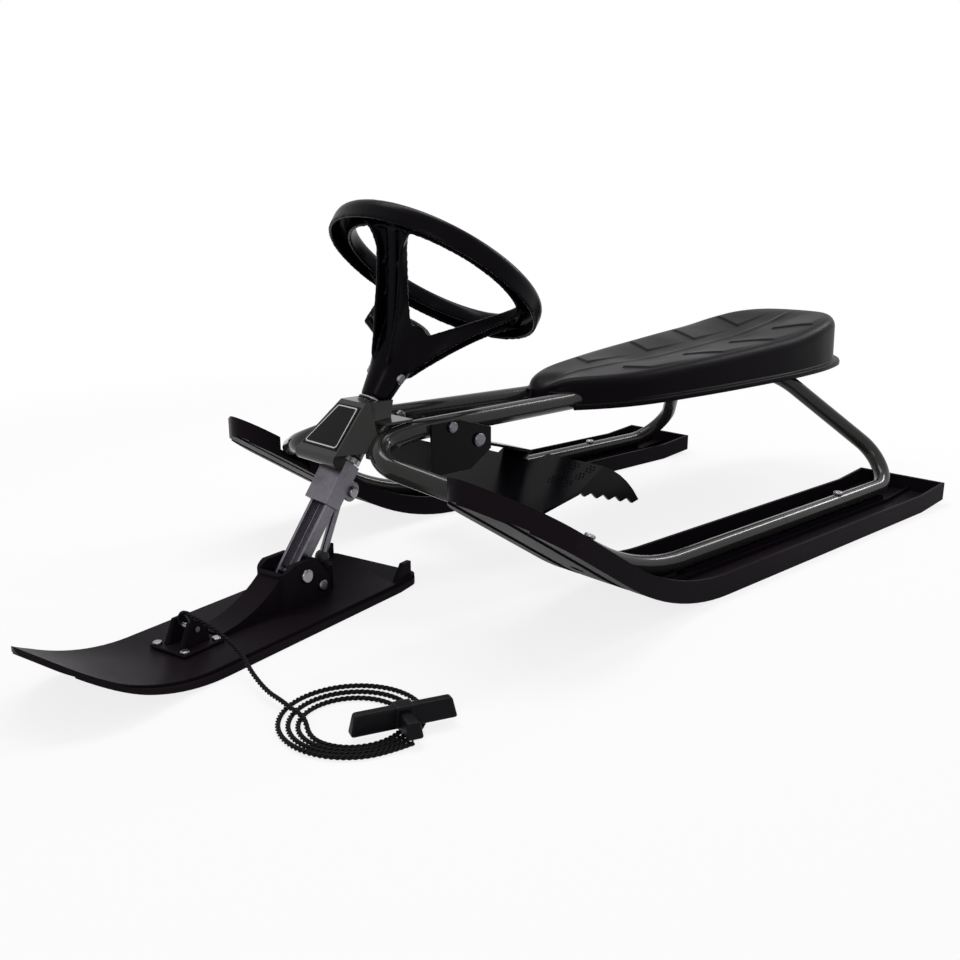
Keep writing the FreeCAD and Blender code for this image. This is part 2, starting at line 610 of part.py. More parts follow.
spoke = spoke.cut(plate_yz(spoke_hollow, -half_spoke + SPOKE_WALL, half_spoke - SPOKE_WALL))
wheel = rim.fuse(hub)
for k in range(SPOKES):
    arm = spoke.copy()
    arm.rotate(V(0, 0, 0), Z_AXIS, k * 360 / SPOKES)
    wheel = wheel.fuse(arm)
wheel = wheel.cut(cylinder(COLUMN / 2 + FIT, on_axis(HUB_BOTTOM + OVERCUT), on_axis(COLUMN_TOP - FIT)))
bolt_left = on_axis(HUB_BOLT_DROP, 0, HUB_FLAT)
bolt_right = on_axis(HUB_BOLT_DROP, 0, -HUB_FLAT)
wheel = wheel.cut(cylinder(HUB_FLAT_WIDTH / 2, bolt_left, on_axis(HUB_BOLT_DROP, 0, 2 * HUB_FLAT)))
wheel = wheel.cut(cylinder(HUB_FLAT_WIDTH / 2, bolt_right, on_axis(HUB_BOLT_DROP, 0, -2 * HUB_FLAT)))
cross_hole = cylinder(BOLT / 2 + FIT, bolt_right, bolt_left)
nodes["steering_wheel"] = placed(wheel.cut(cross_hole).removeSplitter(), turned)
column_bore = COLUMN - 2 * COLUMN_WALL
column = pipe(COLUMN, column_bore, on_axis(COLUMN_END), on_axis(COLUMN_TOP)).cut(cross_hole)
nodes["steering_column"] = placed(column, turned)
bolt_end = on_axis(HUB_BOLT_DROP, 0, -HUB_FLAT - NUT_HEIGHT)
nodes["wheel_bolt"] = placed(bolt(bolt_left, bolt_end, BOLT, BOLT_HEAD, BOLT_HEAD_HEIGHT), turned)
nodes["wheel_nut"] = placed(nut(bolt_right, X_AXIS * -1, BOLT, NUT_ACROSS, NUT_HEIGHT), turned)
ring_hole = COLUMN + 2 * FIT
washer_end = HEAD_TOP - BUSH_FLANGE - SEATED
washer = pipe(HEAD_TUBE, ring_hole, on_axis(washer_end), on_axis(washer_end - WASHER_HEIGHT))
nodes["column_washer"] = placed(washer, turned)
collar_top = HEAD_END + BUSH_FLANGE + RUNNING
collar = pipe(HEAD_TUBE, ring_hole, on_axis(collar_top + COLLAR_HEIGHT), on_axis(collar_top))
nodes["column_collar"] = placed(collar, turned)

# Fork: a folded yoke round the column's foot, an open channel leg and a stop rod with a rubber ball
yoke_inner = COLUMN / 2 + SEATED
yoke_outer = yoke_inner + YOKE_SHEET
yoke_front = [
    (-YOKE_FRONT, -YOKE_TOP), (COLUMN / 2, -YOKE_TOP), (COLUMN / 2, -YOKE_END), (-YOKE_FRONT, -YOKE_END),
]
yoke = plate_yz(yoke_front, -yoke_outer, yoke_outer)
ear_place = on_axis(YOKE_EAR_DROP, YOKE_EAR_BACK)
ear_side = X_AXIS * yoke_outer
yoke = yoke.fuse(cylinder(YOKE_EAR_RADIUS, ear_place - ear_side, ear_place + ear_side))
yoke_room = [
    (-YOKE_FRONT + YOKE_SHEET, -YOKE_TOP + OVERCUT), (2 * YOKE_FRONT + YOKE_EAR_RADIUS, -YOKE_TOP + OVERCUT),
    (2 * YOKE_FRONT + YOKE_EAR_RADIUS, -YOKE_END - OVERCUT), (-YOKE_FRONT + YOKE_SHEET, -YOKE_END - OVERCUT),
]
yoke = yoke.cut(plate_yz(yoke_room, -yoke_inner, yoke_inner))
yoke = yoke.cut(cylinder(BOLT / 2 + FIT, ear_place - ear_side * 2, ear_place + ear_side * 2))
nodes["fork_yoke"] = placed(yoke.removeSplitter(), turned)
ear_head = ear_place + ear_side
ear_tail = ear_place - ear_side
fork_bolt = bolt(ear_head, ear_tail - X_AXIS * NUT_HEIGHT, BOLT, BOLT_HEAD, BOLT_HEAD_HEIGHT)
nodes["fork_bolt"] = placed(fork_bolt, turned)
nodes["fork_nut"] = placed(nut(ear_tail, X_AXIS * -1, BOLT, NUT_ACROSS, NUT_HEIGHT), turned)

leg_half = COLUMN / 2
leg_top = COLUMN_END + RUNNING
leg_end = STEER_PIVOT + LEG_FOOT
leg_back = LEG_DEPTH / 2
leg_outline = [
    (-leg_back, -leg_top), (leg_back, -leg_top), (leg_back, -STEER_PIVOT), (-leg_back, -STEER_PIVOT),
]
leg_foot = on_axis(STEER_PIVOT)
leg = plate_yz(leg_outline, -leg_half, leg_half)
leg = leg.fuse(cylinder(LEG_FOOT, leg_foot - X_AXIS * leg_half, leg_foot + X_AXIS * leg_half))
leg_reach = [(-leg_back, 0), (leg_back, 0), (leg_back, -leg_end), (-leg_back, -leg_end)]
leg = leg.common(plate_yz(leg_reach, -leg_half, leg_half))
leg_room = [
    (-leg_back - OVERCUT, -leg_top + OVERCUT), (leg_back - LEG_SHEET, -leg_top + OVERCUT),
    (leg_back - LEG_SHEET, -leg_end - OVERCUT), (-leg_back - OVERCUT, -leg_end - OVERCUT),
]
leg = leg.cut(plate_yz(leg_room, -leg_half + LEG_SHEET, leg_half - LEG_SHEET))
pin_side = ski_place.Rotation.multVec(X_AXIS)
pin_hole = cylinder(PIN / 2 + FIT, steer_pivot - pin_side * FRONT_WIDTH, steer_pivot + pin_side * FRONT_WIDTH)
nodes["fork_leg"] = placed(leg.removeSplitter(), turned).cut(pin_hole)

stay_foot = on_axis(STAY_FOOT_DROP, STAY_FOOT_BACK)
stay = cylinder(STAY / 2, ear_place, stay_foot)
eye_half = X_AXIS * (yoke_inner - RUNNING)
stay = stay.fuse(cylinder(STAY_EYE / 2, ear_place - eye_half, ear_place + eye_half))
stay = stay.cut(cylinder(BOLT / 2 + FIT, ear_tail, ear_head))
nodes["stop_stay"] = placed(stay.removeSplitter(), turned)
ball = Part.makeSphere(STOP_BALL / 2, stay_foot).cut(cylinder(STAY / 2 + FIT, ear_place, stay_foot))
nodes["stop_ball"] = placed(ball, turned)


# Front ski: bowed plate with the pivot tower, heel fins and the boss under the stop ball
def front_line(height):
    """Edges of the front ski's side view at a height above its underside, with the heel and tip ends."""
    angle = math.asin((FRONT_TIP - FRONT_BOW_START) / FRONT_BOW)
    heel = V(0, FRONT_HEEL, FRONT_HEEL_RISE + height)
    flat = V(0, FRONT_HEEL - FRONT_HEEL_RUN, height)
    bow = V(0, -FRONT_BOW_START, height)
    thinned = height * FRONT_TIP_SHEET / FRONT_SHEET
    arc = []
    for turn, radius in ((angle / 2, FRONT_BOW - (height + thinned) / 2), (angle, FRONT_BOW - thinned)):
        arc.append(V(0, -FRONT_BOW_START - radius * math.sin(turn), FRONT_BOW - radius * math.cos(turn)))
    middle, tip = arc
    edges = [
        Part.LineSegment(heel, flat).toShape(), Part.LineSegment(flat, bow).toShape(),
        Part.Arc(bow, middle, tip).toShape(),
    ]
    return edges, heel, tip


def front_band(low, high, x_low, x_high):
    """Solid between two heights above the front ski's underside."""
    lower, low_heel, low_tip = front_line(low)
    upper, high_heel, high_tip = front_line(high)
    ends = [Part.LineSegment(low_heel, high_heel).toShape(), Part.LineSegment(low_tip, high_tip).toShape()]
    band = Part.Face(Part.Wire(Part.__sortEdges__(lower + upper + ends))).extrude(X_AXIS * (x_high - x_low))
    band.translate(X_AXIS * x_low)
    return band


front_half = FRONT_WIDTH / 2
plan = box(V(-front_half, -FRONT_TIP, -OVERCUT), V(front_half, FRONT_HEEL, FRONT_BOW))
upright_edges = [edge for edge in plan.Edges if abs(edge.tangentAt(edge.FirstParameter).z) > 1 - FIT]
front_edges = [edge for edge in upright_edges if edge.CenterOfMass.y < 0]
plan = plan.makeFillet(FRONT_CORNER, front_edges)
upright_edges = [edge for edge in plan.Edges if abs(edge.tangentAt(edge.FirstParameter).z) > 1 - FIT]
heel_edges = [edge for edge in upright_edges if edge.CenterOfMass.y > FRONT_HEEL - FIT]
plan = plan.makeFillet(FRONT_HEEL_CORNER, heel_edges)
deck = front_band(0, FRONT_SHEET, -front_half, front_half).common(plan)
for side in (-1, 1):
    ledge = sorted((side * (front_half - FRONT_LIP), side * (front_half + OVERCUT)))
    deck = deck.cut(front_band(FRONT_SHEET - FRONT_LIP_DROP, FRONT_SHEET + OVERCUT, ledge[0], ledge[1]))
    groove_x = side * GROOVE_PLACE
    groove_low = groove_x - GROOVE_WIDTH / 2
    groove_high = groove_x + GROOVE_WIDTH / 2
    deck = deck.cut(front_band(-OVERCUT, GROOVE_DEPTH, groove_low, groove_high))
inside_deck = FRONT_SHEET / 2
tower_outline = [
    (TOWER_REAR, inside_deck), (TOWER_REAR, TOWER_REAR_HEIGHT), (TOWER_TOP_HALF, TOWER_HEIGHT),
    (-TOWER_TOP_HALF, TOWER_HEIGHT), (-TOWER_SLOT_FRONT - SKI_WALL, RIDGE_TOP),
    (-TOWER_SLOT_FRONT - SKI_WALL, inside_deck),
]
ridge_corners = [
    V(-RIDGE_HALF, -RIDGE_FRONT, RIDGE_FRONT_HEIGHT), V(-RIDGE_HALF, -RIDGE_FRONT, inside_deck),
    V(-RIDGE_HALF, -TOWER_SLOT_FRONT, inside_deck), V(-RIDGE_HALF, -TOWER_SLOT_FRONT, RIDGE_TOP),
]
ridge_rise = ridge_corners[3] - ridge_corners[0]
ridge_middle = ridge_corners[0] + ridge_rise / 2
ridge_middle = ridge_middle + V(0, ridge_rise.z, -ridge_rise.y).normalize() * RIDGE_SAG
ridge_edges = [Part.makePolygon(ridge_corners), Part.Arc(ridge_corners[3], ridge_middle, ridge_corners[0]).toShape()]
ridge = Part.Face(Part.Wire(ridge_edges)).extrude(X_AXIS * (2 * RIDGE_HALF))
tower = plate_yz(tower_outline, -TOWER_HALF, TOWER_HALF)
tower_front = -TOWER_SLOT_FRONT - SKI_WALL + FIT
tower = tower.makeFillet(TOWER_ROUND, [
    edge for edge in tower.Edges
    if edge.CenterOfMass.y < tower_front and abs(edge.tangentAt(edge.FirstParameter).z) > 1 - FIT
])
tower = tower.fuse(ridge)
slot_low = V(-TOWER_SLOT_HALF, -TOWER_SLOT_FRONT, TOWER_SLOT_FLOOR)
tower = tower.cut(box(slot_low, V(TOWER_SLOT_HALF, TOWER_REAR + OVERCUT, TOWER_HEIGHT + OVERCUT)))
front_ski = deck.fuse(tower)
for side in (-1, 1):
    fin_x = side * (front_half - HEEL_FIN_INSET - HEEL_FIN_SHEET / 2)
    fin_end = FRONT_HEEL - FRONT_HEEL_CORNER / 2
    fin = [
        (fin_end, inside_deck), (fin_end, FRONT_SHEET + HEEL_FIN_HEIGHT),
        (fin_end - HEEL_FIN_LENGTH / 2, FRONT_SHEET + HEEL_FIN_HEIGHT),
        (fin_end - HEEL_FIN_LENGTH, FRONT_SHEET), (fin_end - HEEL_FIN_LENGTH, inside_deck),
    ]
    front_ski = front_ski.fuse(plate_yz(fin, fin_x - HEEL_FIN_SHEET / 2, fin_x + HEEL_FIN_SHEET / 2))
ball_place = ski_place.inverse().multVec(turned.multVec(stay_foot))
boss_top = ball_place.z - STOP_BALL / 2 - RUNNING
boss_foot = V(ball_place.x, ball_place.y, inside_deck)
front_ski = front_ski.fuse(cylinder(STOP_BOSS / 2, boss_foot, V(ball_place.x, ball_place.y, boss_top)))
pin_height = steer_pivot.z
pin_middle = V(0, 0, pin_height)
stop_middle = V(0, STOP_PIN_BACK, STOP_PIN_HEIGHT)
across = X_AXIS * front_half
front_ski = front_ski.cut(cylinder(PIN / 2 + FIT, pin_middle - across, pin_middle + across))
front_ski = front_ski.cut(cylinder(BOLT / 2 + FIT, stop_middle - across, stop_middle + across))

anchor_low = FRONT_SHEET + SEATED
anchor_foot = V(0, -ANCHOR_PLACE, anchor_low)
half_base = ANCHOR_BASE / 2
anchor_corner = anchor_foot - V(half_base, half_base, 0)
anchor = box(anchor_corner, anchor_foot + V(half_base, half_base, ANCHOR_BASE_SHEET))
anchor_rings = []
for width, height in ((ANCHOR_LOW, ANCHOR_BASE_SHEET / 2), (ANCHOR_HIGH, ANCHOR_HEIGHT)):
    half = width / 2
    corner = [V(-half, -half, 0), V(half, -half, 0), V(half, half, 0), V(-half, half, 0)]
    ring = [anchor_foot + point + Z_AXIS * height for point in corner]
    anchor_rings.append(Part.makePolygon(ring + ring[:1]))
anchor = anchor.fuse(Part.makeLoft(anchor_rings, True, True))
anchor_eye = anchor_foot + Z_AXIS * (ANCHOR_HEIGHT - ANCHOR_HOLE_DROP)
across_base = X_AXIS * half_base
anchor = anchor.cut(cylinder(ANCHOR_HOLE / 2, anchor_eye - across_base, anchor_eye + across_base))
anchor_screws = []
screw_reach = half_base - ANCHOR_SCREW_INSET
for x in (-screw_reach, screw_reach):
    for y in (-screw_reach, screw_reach):
        top = anchor_foot + V(x, y, ANCHOR_BASE_SHEET + SEATED)
        end = top - Z_AXIS * ANCHOR_SCREW_DEPTH
        hole = cylinder(ANCHOR_SCREW / 2 + FIT, end - Z_AXIS * FIT, top + Z_AXIS * OVERCUT)
        anchor = anchor.cut(hole)
        front_ski = front_ski.cut(hole)
        screw = bolt(top, end, ANCHOR_SCREW, ANCHOR_SCREW_HEAD, ANCHOR_SCREW_HEIGHT)
        anchor_screws.append(placed(screw, ski_place))
nodes["rope_anchor"] = placed(anchor.cut(deck).removeSplitter(), ski_place)
nodes["front_ski"] = placed(front_ski.removeSplitter(), ski_place)
nodes["anchor_screws"] = Part.makeCompound(anchor_screws)
pin_start = pin_middle + X_AXIS * TOWER_HALF
pin_end = pin_middle - X_AXIS * TOWER_HALF
pivot_pin = bolt(pin_start, pin_end - X_AXIS * PIN_NUT_HEIGHT, PIN, PIN_HEAD, PIN_HEAD_HEIGHT)
nodes["pivot_pin"] = placed(pivot_pin, ski_place)
nodes["pivot_nut"] = placed(nut(pin_end, X_AXIS * -1, PIN, PIN_NUT_ACROSS, PIN_NUT_HEIGHT), ski_place)
bushes = []
for side in (-1, 1):
    bush_in = pin_middle + X_AXIS * (side * PIN_BUSH_START)
    bush_out = pin_middle + X_AXIS * (side * TOWER_SLOT_HALF)
    bushes.append(placed(pipe(PIN_BUSH, PIN + 2 * FIT, bush_in, bush_out), ski_place))
nodes["pivot_bushes"] = Part.makeCompound(bushes)
stop_start = stop_middle + X_AXIS * TOWER_HALF
stop_end = stop_middle - X_AXIS * TOWER_HALF
tower_bolt = bolt(stop_start, stop_end - X_AXIS * NUT_HEIGHT, BOLT, BOLT_HEAD, BOLT_HEAD_HEIGHT)
nodes["tower_bolt"] = placed(tower_bolt, ski_place)
nodes["tower_nut"] = placed(nut(stop_end, X_AXIS * -1, BOLT, NUT_ACROSS, NUT_HEIGHT), ski_place)

# Seat: a moulded shell on two straps that lie across the tubes
seat_left = [V(x, y, 0) for x, y in SEAT_OUTLINE]
seat_right = [V(-x, y, 0) for x, y in reversed(SEAT_OUTLINE)]
seat_points = [V(0, SEAT_FRONT, 0)] + seat_left + [V(0, SEAT_REAR, 0)] + seat_right
seat_curve = Part.BSplineCurve()
seat_curve.interpolate(seat_points, PeriodicFlag=True)
seat_sky = 2 * SEAT_TOP_REAR
seat_ends = 2 * SEAT_EDGE


def seat_prism(inset, low_drop, high_front, high_rear):
    """Block inside the seat's outline, from a sloping underside to a sloping top."""
    points = []
    for point in seat_points:
        along = seat_curve.tangent(seat_curve.parameter(point))[0]
        points.append(point + V(-along.y, along.x, 0).normalize() * inset)
    outline = Part.BSplineCurve()
    outline.interpolate(points, PeriodicFlag=True)
    block = Part.Face(Part.Wire(outline.toShape())).extrude(Z_AXIS * seat_sky)
    front = SEAT_FRONT - seat_ends
    rear = SEAT_REAR + seat_ends
    low = [SEAT_LOW_FRONT - low_drop, SEAT_LOW_REAR - low_drop]
    side = [(front, low[0]), (rear, low[1]), (rear, high_rear), (front, high_front)]
    return block.common(plate_yz(side, -seat_sky, seat_sky))


def rounded_top(block, radius):
    """The block with its upper edge rounded."""
    top = max(block.Faces, key=lambda face: face.CenterOfMass.z)
    return block.makeFillet(radius, top.Edges)


seat = seat_prism(0, 0, SEAT_LOW_FRONT + SEAT_LIP_HEIGHT, SEAT_LOW_REAR + SEAT_LIP_HEIGHT)
crown = rounded_top(seat_prism(SEAT_LIP, 0, SEAT_TOP_FRONT, SEAT_TOP_REAR), SEAT_EDGE)
hollow_top = (SEAT_TOP_FRONT - SEAT_SHELL, SEAT_TOP_REAR - SEAT_SHELL)
hollow = seat_prism(SEAT_LIP + SEAT_SHELL, OVERCUT, hollow_top[0], hollow_top[1])
hollow = rounded_top(hollow, SEAT_EDGE - SEAT_SHELL)
seat = seat.fuse(crown).cut(hollow)
screw_spots = []
straps = {}
for name, y, half, reach in (
    ("seat_strap_front", STRAP_FRONT_Y, STRAP_FRONT_HALF, SEAT_SCREW_FRONT),
    ("seat_strap_rear", STRAP_REAR_Y, STRAP_REAR_HALF, SEAT_SCREW_REAR),
):
    tilt = math.degrees(math.atan2(SEAT_TURN.z - WAIST.z, SEAT_TURN.y - WAIST.y))
    centre = tube_at(y)
    low = centre.z + (TUBE / 2 + SEATED) / math.cos(math.radians(tilt))
    strap = box(V(-half, -STRAP_WIDTH / 2, 0), V(half, STRAP_WIDTH / 2, STRAP_SHEET))
    for x in (-reach, reach):
        foot = V(x, 0, 0)
        hole_top = foot + Z_AXIS * (STRAP_SHEET + OVERCUT)
        strap = strap.cut(cylinder(SEAT_SCREW / 2 + FIT, foot - Z_AXIS * OVERCUT, hole_top))
        screw_spots.append((V(x, 0, 0), FreeCAD.Placement(V(0, y, low), FreeCAD.Rotation(X_AXIS, tilt))))
    straps[name] = placed(strap, FreeCAD.Placement(V(0, y, low), FreeCAD.Rotation(X_AXIS, tilt)))
seat_screws = []
for spot, place in screw_spots:
    base = spot + Z_AXIS * (STRAP_SHEET + SEATED)
    boss = placed(cylinder(SEAT_BOSS / 2, base, base + Z_AXIS * (SEAT_TOP_REAR - SEAT_LOW_FRONT)), place)
    seat = seat.fuse(boss.common(hollow))
    tip = spot + Z_AXIS * (STRAP_SHEET + SEAT_SCREW_LENGTH)
    seat = seat.cut(placed(cylinder(SEAT_SCREW / 2 + FIT, spot, tip + Z_AXIS * FIT), place))
    screw = bolt(spot - Z_AXIS * SEATED, tip, SEAT_SCREW, SEAT_SCREW_HEAD, SEAT_SCREW_HEAD_HEIGHT)
    seat_screws.append(placed(screw, place))
for side in (-1, 1):
    slot_x = side * WAIST.x
    slot_low = V(slot_x - SEAT_SLOT_HALF, SEAT_FRONT - OVERCUT, SEAT_LOW_FRONT - OVERCUT)
    slot_high = V(slot_x + SEAT_SLOT_HALF, SEAT_FRONT + SEAT_SLOT_DEPTH, WAIST.z + TUBE / 2 + RUNNING)
    seat = seat.cut(box(slot_low, slot_high))
nodes["seat_shell"] = seat.removeSplitter()
nodes.update(straps)
nodes["seat_screws"] = Part.makeCompound(seat_screws)

# Brake: a bracket bolted to the tubes, an axle, and the folded pedal with its two toothed claws
bracket_wall = [
    (BRACKET_FRONT, BRACKET_LOW), (BRACKET_FRONT, BRACKET_WALL_TOP),
    (BRACKET_FRONT + BRACKET_SHEET, BRACKET_WALL_TOP), (BRACKET_FRONT + BRACKET_SHEET, BRACKET_LOW),
]
bracket_outer = BRACKET_HALF + BRACKET_SHEET
cheek = [
    (BRACKET_FRONT, BRACKET_LOW), (BRACKET_FRONT, BRACKET_HIGH), (BRACKET_BOLT_Y + BOLT_HEAD, BRACKET_HIGH),
    (BRACKET_REAR, BRAKE_PIVOT.z + BOLT_HEAD), (BRACKET_REAR, BRAKE_PIVOT.z - BOLT_HEAD),
    (BRAKE_PIVOT.y - BOLT_HEAD, BRACKET_LOW),
]
cheek_plate = plate_yz(cheek, BRACKET_HALF, bracket_outer)
bracket = plate_yz(bracket_wall, -BRACKET_HALF, BRACKET_HALF).fuse(cheek_plate).fuse(mirrored(cheek_plate))
axle_left = BRAKE_PIVOT + X_AXIS * bracket_outer
axle_right = BRAKE_PIVOT - X_AXIS * bracket_outer
bracket = bracket.cut(cylinder(BRAKE_AXLE / 2 + FIT, axle_right - X_AXIS, axle_left + X_AXIS))
tube_spot = tube_at(BRACKET_BOLT_Y)
clamp_head = V(bracket_outer, tube_spot.y, tube_spot.z)
clamp_nut = V(tube_spot.x - TUBE / 2 - NUT_SEAT, tube_spot.y, tube_spot.z)
clamp_end = clamp_nut - X_AXIS * NUT_HEIGHT
clamp_hole = cylinder(BOLT / 2 + FIT, clamp_end, clamp_head + X_AXIS)
bracket = bracket.cut(clamp_hole).cut(mirrored(clamp_hole))
frame_tube = frame_tube.cut(clamp_hole)
nodes["brake_bracket"] = bracket.removeSplitter()
clamp_bolt = bolt(clamp_head, clamp_end, BOLT, BOLT_HEAD, BOLT_HEAD_HEIGHT)
clamp_ring = nut(clamp_nut, X_AXIS * -1, BOLT, NUT_ACROSS, NUT_HEIGHT)
nodes["bracket_bolts"] = Part.makeCompound([clamp_bolt, mirrored(clamp_bolt)])
nodes["bracket_nuts"] = Part.makeCompound([clamp_ring, mirrored(clamp_ring)])
axle = bolt(axle_left, axle_right - X_AXIS * PIN_NUT_HEIGHT, BRAKE_AXLE, PIN_HEAD, PIN_HEAD_HEIGHT)
nodes["brake_axle"] = axle
nodes["brake_axle_nut"] = nut(axle_right, X_AXIS * -1, BRAKE_AXLE, PIN_NUT_ACROSS, PIN_NUT_HEIGHT)


def sheet_strip(start, end, thickness, x_low, x_high):
    """Flat sheet along a line of the side view, with its thickness under the line."""
    run = math.hypot(end[0] - start[0], end[1] - start[1])
    drop = ((end[1] - start[1]) / run * thickness, -(end[0] - start[0]) / run * thickness)
    outline = [start, end, (end[0] + drop[0], end[1] + drop[1]), (start[0] + drop[0], start[1] + drop[1])]
    return plate_yz(outline, x_low, x_high)


pedal_rear = (PEDAL_REAR_Y, PEDAL_REAR_Z)
pedal_front = (PEDAL_FRONT_Y, PEDAL_FRONT_Z)
pedal = sheet_strip(pedal_front, pedal_rear, BRAKE_SHEET, -CLAW_HALF, CLAW_HALF)
clip = [
    (CLAW_HALF - PEDAL_CLIP_X, PEDAL_FRONT_Y - OVERCUT), (CLAW_HALF + OVERCUT, PEDAL_FRONT_Y - OVERCUT),
    (CLAW_HALF + OVERCUT, PEDAL_FRONT_Y + PEDAL_CLIP_Y), (CLAW_HALF, PEDAL_FRONT_Y + PEDAL_CLIP_Y),
]
notch = [
    (NOTCH_NEAR, PEDAL_REAR_Y - NOTCH_DEPTH), (NOTCH_FAR - NOTCH_DEPTH, PEDAL_REAR_Y - NOTCH_DEPTH),
    (NOTCH_FAR, PEDAL_REAR_Y + OVERCUT), (NOTCH_NEAR, PEDAL_REAR_Y + OVERCUT),
]
for outline in (clip, notch):
    cutter = plate_xy(outline, 0, BRACKET_LOW)
    pedal = pedal.cut(cutter).cut(mirrored(cutter))
neck = sheet_strip((NECK_FRONT_Y, NECK_FRONT_Z), pedal_rear, BRAKE_SHEET, -NECK_HALF, NECK_HALF)
neck_slot = V(-NECK_HALF - OVERCUT, BRAKE_PIVOT.y - BRAKE_EYE, BRACKET_LOW)
spring_zone_end = V(NECK_HALF + OVERCUT, BRAKE_PIVOT.y + BRAKE_EYE / 2 + OVERCUT, BRACKET_HIGH)
spring_zone = box(V(BRAKE_EYE_HALF, neck_slot.y, neck_slot.z), spring_zone_end)
neck = neck.cut(spring_zone).cut(mirrored(spring_zone))
eye_left = BRAKE_PIVOT + X_AXIS * BRAKE_EYE_HALF
eye_right = BRAKE_PIVOT - X_AXIS * BRAKE_EYE_HALF
eye_bar = cylinder(BRAKE_EYE / 2, eye_right, eye_left)
claw_y = CLAW_TIP_Y - PEDAL_REAR_Y
claw_z = CLAW_TIP_Z - PEDAL_REAR_Z
claw_run = math.hypot(claw_y, claw_z)
claw_outline = [(CLAW_FOOT_Y, CLAW_FOOT_Z), pedal_rear]
for share in (0.2, 0.4, 0.6, 0.8):
    bulge = 4 * share * (1 - share) * CLAW_BULGE / claw_run
    claw_outline.append((PEDAL_REAR_Y + claw_y * share - claw_z * bulge, PEDAL_REAR_Z + claw_z * share + claw_y * bulge))
claw_outline.append((CLAW_TIP_Y, CLAW_TIP_Z))
tooth_y = (CLAW_FOOT_Y - CLAW_TIP_Y) / CLAW_TEETH
tooth_z = (CLAW_FOOT_Z - CLAW_TIP_Z) / CLAW_TEETH
tooth_run = math.hypot(tooth_y, tooth_z)
for k in range(CLAW_TEETH):
    root_y = CLAW_TIP_Y + tooth_y * (k + 1)
    root_z = CLAW_TIP_Z + tooth_z * (k + 1)
    point_y = root_y - tooth_y / 2 + tooth_z / tooth_run * -CLAW_TOOTH
    point_z = root_z - tooth_z / 2 + tooth_y / tooth_run * CLAW_TOOTH
    claw_outline.append((point_y, point_z))
    claw_outline.append((root_y, root_z))
claw = plate_yz(claw_outline[:-1], CLAW_HALF - BRAKE_SHEET, CLAW_HALF)
lever = pedal.fuse(neck).fuse(eye_bar).fuse(claw).fuse(mirrored(claw))
lever = lever.cut(cylinder(BRAKE_BUSH / 2, eye_right - X_AXIS, eye_left + X_AXIS))
nodes["brake_lever"] = lever.removeSplitter()
nodes["brake_bush"] = pipe(BRAKE_BUSH, BRAKE_AXLE + 2 * FIT, eye_right, eye_left)
spring_path = Part.makeHelix(SPRING_PITCH, SPRING_LENGTH, SPRING_COIL / 2)
spring_start = V(SPRING_COIL / 2, 0, 0)
spring_profile = Part.Wire(Part.Circle(spring_start, Y_AXIS, SPRING_WIRE / 2).toShape())
spring = Part.Wire(spring_path.Edges).makePipeShell([spring_profile], True, True)
spring_foot = eye_left + X_AXIS * (SEATED + SPRING_WIRE / 2)
nodes["brake_spring"] = placed(spring, FreeCAD.Placement(spring_foot, FreeCAD.Rotation(Z_AXIS, X_AXIS)))
spacer_end = BRAKE_PIVOT - X_AXIS * (BRACKET_HALF - SEATED)
nodes["brake_spacer"] = pipe(SPACER, BRAKE_AXLE + 2 * FIT, spacer_end, eye_right - X_AXIS * RUNNING)
nodes["frame_tube_left"] = frame_tube.cut(tube_bore)
nodes["frame_tube_right"] = mirrored(nodes["frame_tube_left"])

# Pull rope: from the anchor over the ski's edge to a coil on the snow, with its handle
rope_points = [V(left, -ahead, height) for ahead, left, height in ROPE_ROUTE]
rope_radii = []
for before, corner, after in zip(rope_points, rope_points[1:], rope_points[2:]):
    turn = math.pi - math.acos((before - corner).normalize() * (after - corner).normalize())
    shorter = min((before - corner).Length, (after - corner).Length)
    rope_radii.append(ROPE_BEND_SHARE * shorter / math.tan(turn / 2))
rope_path = bent_path(rope_points, rope_radii)
nodes["pull_rope"] = placed(sweep_round(rope_path, ROPE), ski_place)
coil_centre = V(COIL_LEFT, -COIL_FORWARD, 0)
coil = Part.makeCylinder(COIL_RADIUS + COIL_BAND / 2, COIL_HEIGHT, coil_centre)
coil_hole = COIL_RADIUS - COIL_BAND / 2
coil_below = coil_centre - Z_AXIS * OVERCUT
coil = coil.cut(Part.makeCylinder(coil_hole, COIL_HEIGHT + 2 * OVERCUT, coil_below))
coil = coil.makeFillet(COIL_ROUND, [edge for edge in coil.Edges if isinstance(edge.Curve, Part.Circle)])
nodes["rope_coil"] = placed(coil, ski_place)
handle_middle = HANDLE_MIDDLE + Z_AXIS * (COIL_HEIGHT + HANDLE / 2 + RUNNING)
turn = math.radians(HANDLE_TURN)
handle_along = V(math.cos(turn), math.sin(turn), 0)
stem_along = V(math.sin(turn), -math.cos(turn), 0)
grip_end = handle_along * (HANDLE_LENGTH / 2 - HANDLE / 2)
handle = cylinder(HANDLE / 2, handle_middle - grip_end, handle_middle + grip_end)
handle = handle.fuse(Part.makeSphere(HANDLE / 2, handle_middle - grip_end))
handle = handle.fuse(Part.makeSphere(HANDLE / 2, handle_middle + grip_end))
stem = Part.makeCone(HANDLE_STEM_LOW, HANDLE_STEM_HIGH, HANDLE_STEM, handle_middle, stem_along)
handle = handle.fuse(stem)
nodes["rope_handle"] = handle.removeSplitter()

